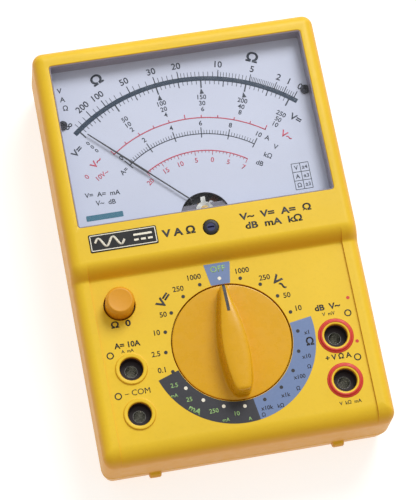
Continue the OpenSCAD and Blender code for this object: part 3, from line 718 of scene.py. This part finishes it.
def openings(end, z):
    """The panel's round openings at height z, at the first or last point of their rims."""
    loops = [circle(knob.x, knob.y, knob_rim[end][0], z, KNOB_SIDES)]
    loops.append(circle(ohm.x, ohm.y, ohm_rim[end][0], z))
    return loops + [circle(j.x, j.y, jack_rim[end][0], z) for j in jacks.values()]


shell.fill(PANEL, panel_loop, openings(0, PANEL))
shell.revolve(knob.x, knob.y, knob_rim, KNOB_SIDES)
shell.revolve(ohm.x, ohm.y, ohm_rim)
for j in jacks.values():
    shell.revolve(j.x, j.y, jack_rim)

# rims beside the panel, and the low wall down to the panel
for sx in (-1, 1):
    rim_edge = sx * (RIM_X + WALL_X)
    ends = [(p[0], p[1]) for p in last if p[0] * sx > RIM_X and p[1] <= low_ys[0] + NEAR]
    ends = sorted(ends, key=lambda p: (round(p[1], 6), p[0] * sx))
    shell.cap([(p[0], p[1], RIM) for p in ends] + [(rim_edge, low_ys[0], RIM)])
    shell.loft([[(x, y, RIM) for y in low_ys] for x in (sx * in_x, rim_edge)], closed=False)
    wall = ((rim_edge, RIM), (sx * panel_x, PANEL))
    shell.loft([[(x, y, z) for y in [end_y] + low_ys] for x, z in wall], closed=False)

# underside
top_in = inner[0]
head_under = [p for p in top_in if p[1] >= UNDER_Y]
turn_over = [i for i, p in enumerate(top_in) if p[1] >= UNDER_Y]
a, b = turn_over[0], turn_over[-1]
adjuster_hole = circle(adjuster.x, adjuster.y, adjuster_rim[-1][0], UNDER_HEAD)
shell.fill(UNDER_HEAD, head_under, [window_rim[-1], adjuster_hole])
shell.fill(UNDER, top_in[b + 1 :] + top_in[:a], openings(-1, UNDER))
shell.add([top_in[a - 1], top_in[a], top_in[b], top_in[(b + 1) % len(top_in)]], [[0, 1, 2, 3]])
shell.make("front_shell", [case_yellow], "case", "case_plastic", ["front_case"], sharp=30)

# ---- rear shell ----

POST_X, POST_IN = 42.5, 7.1
SCREW_R = 3.2
LUG_X, LUG_R, LUG_Z, LUG_SIDES = 31.8, 2.4, 8.4, 24
lug_y = box_mm("rear_cover")[0].y + LUG_R
posts = [(sx * POST_X, y) for sx in (-1, 1) for y in (case_low.y + POST_IN, case_high.y - POST_IN)]


def rear_ring(side, z):
    corner = CORNER_R - side * 0.6
    return [(x, y, z) for x, y, _ in outline(HALF - side, LOW + side, HIGH - side, corner)]


REAR_IN, REAR_R, REAR_Z = 1.3, 3.0, 3.2  # where the rounding of the rear edge starts, and its size
FLOOR_IN, FLOOR_Z = 4, 2.8
rear = Shape()
rear_rings = [rear_ring(SEAM, PART), rear_ring(0, PART - 0.3), rear_ring(0.6, 7), rear_ring(REAR_IN, REAR_Z)]
for angle in steps(11.25, 90, 7):
    t = math.radians(angle)
    rear_rings.append(rear_ring(REAR_IN + REAR_R * (1 - math.cos(t)), REAR_Z * (1 - math.sin(t))))
rear.loft([rear_ring(FLOOR_IN, FLOOR_Z), rear_ring(3.6, PART)] + rear_rings)
rear.cap(rear_ring(FLOOR_IN, FLOOR_Z))
plate_low, plate_high = Vector((-26, -34, 0)), Vector((26, -6, 0))
plate = [round_rect(*grow(plate_low, plate_high, out), 2 + out, z) for out, z in ((0.2, 0), (0, 0.25))]
rear.fill(0, rear_rings[-1], [circle(x, y, 3.5, 0) for x, y in posts] + [plate[0]])
rear.loft(plate)
rear.cap(plate[-1])
for x, y in posts:
    rear.revolve(x, y, [(3.5, 0), (3.25, 0.12), (SCREW_R, 0.3), (SCREW_R, 2.3), (1.7, 2.3), (1.7, 2.5)])
    rear.cap(circle(x, y, 1.7, 2.5))
for sx in (-1, 1):
    rounds = []
    for x, r in ((-2.1, 1.7), (-1.95, 2.15), (-1.6, LUG_R), (1.6, LUG_R), (1.95, 2.15), (2.1, 1.7)):
        lug = circle(lug_y, LUG_Z, r, sx * LUG_X + x, LUG_SIDES)
        rounds.append([(along, y, z) for y, z, along in lug])
    rear.loft(rounds)
    rear.cap(rounds[0])
    rear.cap(rounds[-1])
rear.make("rear_shell", [case_yellow], "case", "case_plastic", ["rear_cover"], sharp=30)

# ---- window, badge and adjuster ----

pane = Shape()


def pane_ring(inset, z):
    """A loop around the window opening, moved inwards by inset."""
    return round_rect(*grow(window_low, window_high, -inset), max(1.0 - inset, 0.4), z)


PANE_T = 1.5
pane_loops = [
    pane_ring(inset, PANE_Z - down)
    for inset, down in ((0.55, PANE_T), (0.45, PANE_T - 0.1), (0.45, 0.2), (0.6, 0))
]
pane.loft(pane_loops)
pane.fill(PANE_Z, pane_loops[-1])
pane.fill(PANE_Z - PANE_T, pane_loops[0])
pane.make("window_pane", [window_clear], "case", "clear_window", ["meter_window"])
frame_foot = DIAL + 0.02
frame_section = (
    (0.06, HEAD - 0.3), (0.06, frame_foot), (0.42, frame_foot), (0.42, HEAD - 0.45), (0.2, HEAD - 0.28),
    (0.06, HEAD - 0.3),
)
frame_in = Shape()
frame_in.loft([pane_ring(inset, z) for inset, z in frame_section])
frame_in.make("window_frame", [window_edge], "case", "black_plastic")

badge = Shape()
badge_top = badge_high.z
badge_loops = [
    round_rect(*grow(badge_low, badge_high, -inset), 0.5, z)
    for inset, z in ((0, HEAD - 0.2), (0, badge_top - 0.12), (0.12, badge_top))
]
badge.loft(badge_loops)
badge.cap(badge_loops[0])
badge.cap(badge_loops[-1])
badge.make("head_badge", [badge_gloss], "case", "badge_black", ["name_badge"])
marks = Shape()
mark_z = badge_top + LIFT
bl, bh = grow(badge_low, badge_high, -0.55)
frame_line = [(bl.x, bl.y), (bh.x, bl.y), (bh.x, bh.y), (bl.x, bh.y)]
for i in range(4):
    stroke(marks, frame_line[i], frame_line[(i + 1) % 4], 0.28, mark_z)
mid_y = (bl.y + bh.y) / 2
WAVE_FROM, WAVE_TO, WAVE_HEIGHT, WAVE_STEPS = bl.x + 1.4, bl.x + 11.5, 1.5, 40
wave = [
    (mix(WAVE_FROM, WAVE_TO, i / WAVE_STEPS), mid_y + WAVE_HEIGHT * math.sin(4 * math.pi * i / WAVE_STEPS))
    for i in range(WAVE_STEPS + 1)
]
for p, q in zip(wave, wave[1:]):
    stroke(marks, p, q, 0.75, mark_z)
BARS_FROM, BARS_W, BAR_H, BARS_APART = bh.x - 7.6, 6.4, 0.7, 0.9
for k in range(3):
    x = BARS_FROM + 2.4 * k
    stroke(marks, (x, mid_y - BARS_APART), (x + 1.6, mid_y - BARS_APART), BAR_H, mark_z)
stroke(marks, (BARS_FROM, mid_y + BARS_APART), (BARS_FROM + BARS_W, mid_y + BARS_APART), BAR_H, mark_z)
marks.make("badge_print", [ink_white], "case", thick=PRINT)

cap = Shape()
r, top = ADJUSTER_R, ADJUSTER_TOP
cap.revolve(adjuster.x, adjuster.y, [
    (ADJUSTER_FOOT_R, ADJUSTER_FOOT), (ADJUSTER_FOOT_R, seat + 0.05), (r, seat + 0.05), (r, top - 0.35),
    (r - 0.1, top - 0.12), (r - 0.35, top),
])
cap.cap(circle(adjuster.x, adjuster.y, ADJUSTER_FOOT_R, ADJUSTER_FOOT))
slot_half = Vector((1.2, 0.3, 0))
slot_low, slot_high = adjuster - slot_half, adjuster + slot_half
slot_top = round_rect(slot_low, slot_high, 0.25, top - 0.08)
slot_deep = round_rect(slot_low, slot_high, 0.25, top - 0.7)
dish = [circle(adjuster.x, adjuster.y, 1.5, top), circle(adjuster.x, adjuster.y, 1.42, top - 0.08)]
cap.fill(top, circle(adjuster.x, adjuster.y, r - 0.35, top), [dish[0]])
cap.loft(dish)
cap.fill(top - 0.08, dish[1], [slot_top], 1)
cap.loft([slot_top, slot_deep], 1)
cap.cap(slot_deep, 1)
cap.make("zero_adjuster_cap", [black_moulding, adjuster_blue], "adjuster", "black_plastic", ["zero_adjuster"])

# ---- dial ----

CUT_R, CUT_DROP = 8.7, 2.4
DIAL_SCREW_X, DIAL_SCREW_Y, DIAL_SCREW_R = 43, 49, 1.1
face = Shape()
cut = [
    (axis.x + CUT_R * turn(a).x, axis.y - CUT_DROP + CUT_R * turn(a).y, 0)
    for a in reversed(steps(90, -90, 40))
]
face_loop = [(dial_low.x, dial_low.y, 0), (-CUT_R, dial_low.y, 0)] + cut
face_loop += [(CUT_R, dial_low.y, 0), (dial_high.x, dial_low.y, 0)]
face_loop += [(dial_high.x, dial_high.y, 0), (dial_low.x, dial_high.y, 0)]
screw_holes = [circle(sx * DIAL_SCREW_X, DIAL_SCREW_Y, DIAL_SCREW_R, 0, 24) for sx in (-1, 1)]
face.fill(DIAL, face_loop, screw_holes)
face.fill(dial_low.z, face_loop, screw_holes)
for loop in [face_loop, *screw_holes]:
    face.loft([[(x, y, z) for x, y, _ in loop] for z in (dial_low.z, DIAL)])
face.make("dial_face", [dial_paint], "case", "dial_face", ["dial_plate"])

Z = DIAL + LIFT
main = Shape()
ARC = (0, -2.3)
# mirror band, with its reflection painted as dark blue-grey ink
band(main, ARC, 60.8, 62.5, -39.7, 39.7, Z)
main.make("dial_mirror", [mirror_reflection_band], "case", thick=PRINT)

dark, pink = Shape(), Shape()


def ohm_angle(value):
    """Place on the ohm scale, with 20 at the middle of the deflection."""
    return -38.6 + 76.8 * 20 / (20 + value)


def label(shape, centre, angle, r, text, height):
    """A number on a scale, turned with its place."""
    p = Vector(centre) + turn(angle) * r
    write(shape, text, p.x, p.y, Z, height, angle)


for value in (0, 1, 2, 5, 10, 20, 30, 50, 100, 200):
    a = ohm_angle(value)
    tick(dark, ARC, a, 62.2, 65.0, 0.3, Z)
    label(dark, ARC, a, 67.1, str(value), 2.3)
label(dark, ARC, -38.9, 65.2, "∞", 2.3)
fine = [0.0]
for upto, parts in ((5, 25), (10, 10), (20, 10), (30, 5), (50, 4), (100, 5)):
    fine += steps(fine[-1], upto, parts)[1:]
for value in fine + [125, 150, 200, 300, 500, 1000]:
    tick(dark, ARC, ohm_angle(value), 62.4, 64.2, 0.18, Z)
for i in range(51):
    a = -38 + 1.5 * i
    long = i % 10 == 0
    half = i % 5 == 0
    foot, wide = (58.1, 0.5) if long else (58.8, 0.34) if half else (59.5, 0.2)
    tick(dark, ARC, a, 61, foot, wide, Z)
for k in range(6):
    a = -38 + 15 * k
    p = Vector(ARC) + turn(a) * 56.9
    if 1 < k < 5:
        dark.add([(p.x - 0.8, p.y - 1.0, Z), (p.x + 0.8, p.y - 1.0, Z), (p.x, p.y + 1.1, Z)], [[0, 1, 2]])
    for r, number in ((54.7, 50 * k), (52.4, 10 * k), (50.2, 2 * k)):
        if k:
            label(dark, ARC, a, r, str(number), 1.65)
for k in range(3):
    label(dark, ARC, -39.2, 56.2 - 2.0 * k, "0", 1.4)
for x, y, angle in ((-28.6, 64.2, -26), (27, 64.0, 24)):
    write(dark, "Ω", x, y, Z, 3.4, angle, 1.2, 0.03)
write(dark, "V=", -39.8, 38.9, Z, 2.3, -42, 1.1, 0.024)
write(dark, "V=", 37.6, 39.0, Z, 2.3, 42, 1.1, 0.024)
write(pink, "V~", -34.0, 33.8, Z, 2.3, -42, 1.1, 0.024)
write(pink, "V~", 33.2, 33.2, Z, 2.3, 42, 1.1, 0.024)
write(pink, "0", -38.0, 29.2, Z, 1.7, -40)
write(pink, "10V~", -32.6, 29.0, Z, 1.7, -30)
write(dark, "A=", -25.0, 29.2, Z, 1.7, -38)
for x, y, text in ((26.4, 33.4, "A"), (28.6, 29.6, "V"), (25.4, 27.0, "kΩ"), (22.0, 24.6, "dB")):
    write(dark, text, x, y, Z, 1.7, 30)

# inner scales
PINK = (0, -1.6)
band(pink, PINK, 46.1, 46.5, -36.4, 34.8, Z)
for i in range(11):
    a = -36.0 + 7.05 * i
    tick(pink, PINK, a, 46.4, 48.0 if i % 5 == 0 else 47.3, 0.34, Z)
INNER = (0, 1.7)
band(dark, INNER, 36.85, 37.15, -38, 35.6, Z)
for i in range(51):
    a = -37.8 + 1.465 * i
    big = i % 10 == 0
    tick(dark, INNER, a, 35.6 if big else 36.9, 39.4 if big else 38.4, 0.34 if big else 0.17, Z)
for i, text in enumerate(("0", "2", "4", "6", "8", "10")):
    label(dark, INNER, -37.8 + 14.65 * i, 41.0, text, 1.7)
RED = (0, 0.9)
band(pink, RED, 31.4, 31.8, -33.4, 35, Z)
for i in range(31):
    a = -33.2 + 2.27 * i
    tick(pink, RED, a, 31.5, 30.0 if i % 5 == 0 else 30.8, 0.22, Z)
label(pink, RED, -36, 28.4, "20", 1.7)
for i, text in enumerate(("15", "10", "5", "0", "5", "7"), 1):
    label(pink, RED, -33.2 + 11.35 * i, 28.2, text, 1.7)

# small notes
write(dark, "V=  A=  mA", -33.8, 22.2, Z, 1.7, 2)
write(dark, "V~  dB", -33.2, 19.0, Z, 1.7, 2)
for k, text in enumerate(("V", "A", "Ω")):
    write(dark, text, -42.0 + 0.5 * k, 62.0 - 3.3 * k, Z, 1.8, 0)
table_xs, table_ys = steps(32.6, 38.6, 2), steps(12.8, 22.4, 3)
for x in table_xs:
    stroke(dark, (x, table_ys[0]), (x, table_ys[-1]), 0.22, Z)
for y in table_ys:
    stroke(dark, (table_xs[0], y), (table_xs[-1], y), 0.22, Z)
for y, unit, share in ((14.4, "Ω", "±3"), (17.6, "A", "±3"), (20.8, "V", "±4")):
    write(dark, unit, 34.1, y, Z, 1.5)
    write(dark, share, 37.1, y, Z, 1.3)
dark.make("dial_print_dark", [ink_dark], "case", thick=PRINT)
pink.make("dial_print_red", [ink_pink], "case", thick=PRINT)
bar = Shape()
bar.cap(round_rect(Vector((-40.8, 13.0)), Vector((-28.0, 15.0)), 0.3, Z))
bar.make("dial_print_teal", [ink_teal], "case", thick=PRINT)

# ---- range knob ----

CREST = knob_high.z
DISC = PANEL - 0.1
TALL = CREST - DISC
LEAF_TIP, LEAF_TAIL = 18.6, -19.0
# half widths of the grip, from its tip to its tail
leaf = [
    (LEAF_TIP, 0.35), (18.45, 0.85), (18.0, 1.2), (16.6, 1.42), (14.2, 1.8), (11, 2.4), (7, 3.15), (3, 3.8),
    (-1, 4.2), (-5, 4.3), (-9, 4.1), (-13, 3.65), (-16, 3.15), (-17.9, 2.6), (-18.7, 1.9), (LEAF_TAIL, 0.8),
]


def spline(points, count):
    """A smooth open line through the points."""
    out = []
    for i in range(len(points) - 1):
        p0, p1, p2 = points[max(i - 1, 0)], points[i], points[i + 1]
        p3 = points[min(i + 2, len(points) - 1)]
        for k in range(count):
            t = k / count
            out.append([
                0.5 * (2 * b + (c - a) * t + (2 * a - 5 * b + 4 * c - d) * t * t + (3 * b - a - 3 * c + d) * t ** 3)
                for a, b, c, d in zip(p0, p1, p2, p3)
            ])
    return out + [list(points[-1])]


line = spline(leaf, 4)
plan = [Vector((w, y)) for y, w in reversed(line)] + [Vector((-w, y)) for y, w in line]
normals = []
for i, p in enumerate(plan):
    d = plan[(i + 1) % len(plan)] - plan[i - 1]
    normals.append(Vector((d.y, -d.x)).normalized())


def crest_z(y):
    """Height of the grip's ridge: level, then falling a little to the tip."""
    return CREST - 1.3 * max(0.0, (y - 1) / (LEAF_TIP - 1)) ** 2


def grip_loop(out, z):
    """The leaf outline moved outwards by out, less so at its two ends, at height z above the disc."""
    loop = []
    for p, n in zip(plan, normals):
        tip, tail = smooth((LEAF_TIP - p.y) / 9), smooth((p.y - LEAF_TAIL) / 7)
        share = mix(0.3, 1.0, tip) * mix(0.4, 1.0, tail) if out > 0 else 1.0
        q = p + n * out * share
        loop.append((knob.x + q.x, knob.y + q.y, DISC + z * (crest_z(p.y) - DISC) / TALL))
    return loop


# how far the grip stands out from the leaf outline, at heights above the disc
flank = [
    (1.7, 0), (1.25, 0.12), (0.9, 0.4), (0.65, 0.95), (0.48, 1.9), (0.32, 3.3), (0.18, 5.0), (0.06, 6.4),
    (0.0, TALL - 1.3), (-0.04, TALL - 1.0), (-0.14, TALL - 0.72),
]
DISC_SIDES = 120
DISC_TOP_R = KNOB_R - 0.45
HUB_R, HUB_LOW, HUB_TOP, KNOB_FLOOR = 5.9, 23.3, 27.5, 27.35
grip = Shape()
grip_loops = [grip_loop(o, z) for o, z in flank]
crest = grip_loop(-0.3, TALL)
for f in (1, 0.86, 0.72, 0.58, 0.44, 0.3, 0.15, 0):
    grip_loops.append([
        (mix(knob.x, x, f), mix(knob.y, y, 0.94 + 0.06 * f), z - 0.5 * f ** 3)
        for x, y, z in crest
    ])
grip.loft(grip_loops)
disc_rim = [
    (SPINDLE_R, HUB_TOP), (SPINDLE_R, KNOB_FLOOR), (KNOB_R - 0.3, KNOB_FLOOR), (KNOB_R, 27.6),
    (KNOB_R, DISC - 0.45), (KNOB_R - 0.12, DISC - 0.15), (DISC_TOP_R, DISC),
]
grip.revolve(knob.x, knob.y, disc_rim, DISC_SIDES)
grip.cap(circle(knob.x, knob.y, SPINDLE_R, HUB_TOP, DISC_SIDES))
grip.fill(DISC, circle(knob.x, knob.y, DISC_TOP_R, 0, DISC_SIDES), [grip_loops[0]])
grip.make("range_knob_body", [knob_amber], "selector", "knob_plastic", ["range_knob"], sharp=38)
hub = Shape()
hub.revolve(knob.x, knob.y, [(HUB_R, HUB_LOW), (HUB_R, HUB_TOP)])
hub.cap(circle(knob.x, knob.y, HUB_R, HUB_LOW))
hub.cap(circle(knob.x, knob.y, HUB_R, HUB_TOP))
hub.make("range_knob_hub", [knob_amber], "selector", "knob_plastic")
pointer_line = Shape()
tip_z = crest_z(LEAF_TIP)
path = [(18.86, DISC + 1.2), (18.74, DISC + 3.6), (18.66, tip_z - 0.9), (18.5, tip_z - 0.35)]
path += [(y, crest_z(y) + 0.02) for y in (17.8, 16.5, 15, 13.5, 12, 10.5, 8.8)]
for half, back, down in ((0.5, 0, 0), (-0.5, 0.15, 0.06)):
    line_sides = [[(knob.x + x, knob.y + y - back, z - down) for y, z in path] for x in (-half, half)]
    pointer_line.loft(line_sides, closed=False)
pointer_line.make("range_knob_mark", [ink_black], "selector")

# ---- ohm zero knob ----

TOP = ohm_high.z
OHM_R = ohm_high.x - ohm.x
cup = Shape()
CUP_FOOT = 25.3
cup.revolve(ohm.x, ohm.y, [
    (OHM_R - 0.2, CUP_FOOT), (OHM_R, CUP_FOOT + 0.2), (OHM_R, TOP - 0.95), (OHM_R - 0.1, TOP - 0.75),
    (OHM_R - 0.75, TOP - 0.1), (OHM_R - 1.0, TOP), (OHM_R - 1.25, TOP - 0.05), (2.4, TOP - 0.16),
    (0.01, TOP - 0.18),
])
cup.cap(circle(ohm.x, ohm.y, OHM_R - 0.2, CUP_FOOT))
cup.make("ohm_zero_cap", [cap_orange], "ohm_control", "knob_plastic", ["ohm_zero_knob"])

# ---- jack sockets ----

# dark liners in the jacks: real inserts whose dark colour also stands in for the shade down the holes
LINER_R, LINER_TOP = SHROUD_R - 0.02, 28.8
BORE_R = 2.12
for name, j in jacks.items():
    socket = Shape()
    base = box_mm(name)[1].z + 0.15
    profile = [
        (LINER_R, LINER_TOP), (LINER_R, base), (BORE_R, base), (BORE_R, 23.9), (2.4, 24.3), (3.4, 24.5),
        (3.7, 24.9), (3.78, LINER_TOP - 0.2), (LINER_R, LINER_TOP),
    ]
    socket.revolve(j.x, j.y, profile)
    socket.make(name + "_liner", [liner_dark_and_shade], "case", "black_plastic")

# ---- printing on the panel ----

PZ = PANEL + LIFT
OVER = PZ + PRINT  # prints that lie on another print
blue, night, black, red, white, green = (Shape() for _ in range(6))
C = (knob.x, knob.y)
BAND_IN, BAND_OUT, DOT_R = 20.82, 28.5, 22.75
RANGES = 20
band(blue, C, BAND_IN, BAND_OUT, 81, 171, PZ)
band(night, C, BAND_IN, BAND_OUT, 171, 251, PZ)
tab_low, tab_high = C[1] + BAND_IN - 0.2, C[1] + BAND_OUT
blue.cap([(-3.3, tab_low, PZ), (3.3, tab_low, PZ), (4.6, tab_high, PZ), (-4.6, tab_high, PZ)])
for i in range(RANGES):
    p = Vector(C) + turn(360 / RANGES * i) * DOT_R
    dot(white if i in (0, 10, 11, 12, 13) else black, p.x, p.y, 0.62, OVER)
# the text beside each dot, with its place from the dot
scale_labels = {
    18: ("1000", 1.2, 2.7), 36: ("250", 1.9, 2.2), 54: ("50", 3.2, -0.2), 72: ("10", 3.0, 1.0),
    252: ("0.1", -3.6, 1.2), 270: ("2.5", -3.4, 0), 288: ("10", -2.8, 0.3), 306: ("50", -2.8, -0.1),
    324: ("250", -1.2, 3.0), 342: ("1000", -1.4, 3.0),
}
for a, (text, dx, dy) in scale_labels.items():
    p = Vector(C) + turn(a) * DOT_R
    write(black, text, p.x + dx, p.y + dy, PZ, 1.8)


def around(shape, text, angle, r, z, *rest):
    """A text at an angle and radius from the middle of the range knob."""
    p = Vector(C) + turn(angle) * r
    write(shape, text, p.x, p.y, z, *rest)


around(green, "OFF", 0, 26.2, OVER, 2.1)
around(black, "V~", 48, 27.0, PZ, 3.0, 48, 1.1, 0.034)
around(black, "V=", -48, 27.2, PZ, 3.0, -48, 1.1, 0.034)
around(black, "Ω", 99, 26.4, OVER, 2.6, 0, 1.0, 0.03)
around(green, "mA", 218, 27.0, OVER, 1.9, 38, 1.1, 0.03)
for a, text in ((92, "x1"), (111, "x10"), (128, "x100"), (146, "x1k"), (163.5, "x10k")):
    around(black, text, a, 25.6, OVER, 1.4)
for a, text in ((118, "Ω"), (136, "Ω"), (154, "kΩ"), (168, "Ω")):
    around(black, text, a, 27.3, OVER, 1.3)
for a, text in ((242, "2.5"), (226, "25"), (205, "250"), (187, "10")):
    around(green, text, a, 25.0, OVER, 1.5)
for a, text in ((195, "mA"), (178, "A"), (236, "mA")):
    around(green, text, a, 27.3, OVER, 1.2)

# red rings and labels at the jacks
left, right = jacks["jack_10a"].x, jacks["jack_output"].x
upper, lower = jacks["jack_10a"].y, jacks["jack_common"].y
ring = [(4.72, 0.61), (5.1, 0.61), (5.33, 0.46), (5.4, 0.26), (5.52, 0.1), (5.78, 0.01), (6.15, 0.01)]
for j in (jacks["jack_output"], jacks["jack_volt_ohm"]):
    red.revolve(j.x, j.y, [(r, PANEL + z) for r, z in ring], 64)
write(black, "Ω  0", ohm.x - 0.7, ohm.y - 6.6, PZ, 2.1, 0, 1.25, 0.03)
write(black, "A= 10A", left + 0.1, upper + 8.7, PZ, 1.9, 0, 1.0, 0.03)
write(black, "A  mA", left - 0.2, upper + 6.5, PZ, 1.1)
write(black, "– COM", left + 0.6, lower + 7.7, PZ, 2.0, 0, 1.0, 0.0)
write(black, "dB  V~", right - 0.8, upper + 10.6, PZ, 2.0, 0, 1.1, 0.034)
write(black, "V  mV", right - 0.9, upper + 8.1, PZ, 1.2)
write(black, "+ V Ω A", right - 0.6, lower + 8.6, PZ, 1.8, 0, 1.0, 0.03)
write(black, "V  kΩ  mA", right + 0.2, lower - 7.7, PZ, 1.2)
RING_MARKS = ((-41.4, upper + 5.7), (-41.2, lower + 7.2), (40.9, upper + 7.3), (41.0, lower + 7.3))
for x, y in RING_MARKS:
    band(black, (x, y), 0.85, 1.25, 0, 360, PZ, pieces=24)
for x, y in ((42.0, upper + 12.6), (42.0, lower + 12.8)):
    dot(red, x, y, 0.6, PZ)
caption = Shape()
HZ = HEAD + LIFT
write(caption, "V~  V=  A=  Ω", 22.8, 4.3, HZ, 2.3, 0, 1.25, 0.034)
write(caption, "dB  mA  kΩ", 21.6, 0.9, HZ, 2.3, 0, 1.25, 0.03)
write(caption, "V A Ω", -11.2, 2.6, HZ, 2.5, 0, 1.22, 0.04)
caption.make("head_print", [ink_black], "case", thick=PRINT)
for shape, name, material in (
    (blue, "panel_print_blue", ink_blue),
    (night, "panel_print_dark", ink_night),
    (black, "panel_print_black", ink_black),
    (red, "panel_print_red", ink_red),
    (white, "panel_print_white", ink_white),
    (green, "panel_print_green", ink_green),
):
    shape.make(name, [material], "case", thick=PRINT)

# ---- floor, light and camera ----

FLOOR_HALF, FLOOR_DEEP = 3000, -0.02
floor_mesh = bpy.data.meshes.new("floor")
floor_corners = [Vector((sx, sy, 0)) * FLOOR_HALF for sx, sy in ((-1, -1), (1, -1), (1, 1), (-1, 1))]
floor_mesh.from_pydata([(p + Vector((0, 0, FLOOR_DEEP))) * MM for p in floor_corners], [], [[0, 1, 2, 3]])
floor = bpy.data.objects.new("floor", floor_mesh)
bpy.context.scene.collection.objects.link(floor)
fl = Nodes("floor_paper")
paper = fl.blend(fl.span(fl.noise(6, 3), 0.3, 0.7, 0, 1), (0.42, 0.42, 0.42, 1), (0.46, 0.46, 0.46, 1))
fl.surface(paper, 0.9, **{"Emission Color": (1, 0.98, 0.95, 1), "Emission Strength": 0.74})
floor_mesh.materials.append(fl.material)

# a sky that is white from above and from the top end, and warm and dim from low down
world = bpy.data.worlds.new("studio")
bpy.context.scene.world = world
world.use_nodes = True
sky = world.node_tree
height = sky.nodes.new("ShaderNodeVectorMath")
height.operation = "DOT_PRODUCT"
height.inputs[1].default_value = (0.12, 0.46, 0.88)
sky.links.new(sky.nodes.new("ShaderNodeTexCoord").outputs["Generated"], height.inputs[0])
ramp = sky.nodes.new("ShaderNodeValToRGB")
low_sky, high_sky = ramp.color_ramp.elements
low_sky.position, low_sky.color = 0.0, (0.66, 0.40, 0.20, 1)
high_sky.position, high_sky.color = 0.62, (0.98, 1.0, 1.0, 1)
sky.links.new(height.outputs["Value"], ramp.inputs[0])
sky.links.new(ramp.outputs["Color"], sky.nodes["Background"].inputs["Color"])
sky.nodes["Background"].inputs["Strength"].default_value = 0.61


def aim(name, data, place, target, roll=0.0):
    """Puts a lamp or camera at a place, in metres, and turns it to a target."""
    holder = bpy.data.objects.new(name, data)
    bpy.context.scene.collection.objects.link(holder)
    holder.location = place
    holder.rotation_mode = "QUATERNION"
    look = (Vector(target) - Vector(place)).to_track_quat("-Z", "Y")
    holder.rotation_quaternion = look @ Quaternion((0, 0, 1), math.radians(roll))
    return holder


key = bpy.data.lights.new("key", "AREA")
key.shape, key.size, key.energy = "DISK", 1.0, 26.0
aim("key", key, (0.70, 1.14, 1.42), (0, 0, 0.02))

camera_data = bpy.data.cameras.new("camera")
camera_data.lens, camera_data.sensor_width = 180.0, 36.0
camera_data.clip_start, camera_data.clip_end = 0.05, 20.0
camera_place, camera_target = (-0.1094, -0.2602, 0.8365), (-0.00066, -0.00119, 0.020)
camera = aim("camera", camera_data, camera_place, camera_target, 12.67)
bpy.context.scene.camera = camera
bpy.context.scene.view_settings.view_transform = "Standard"
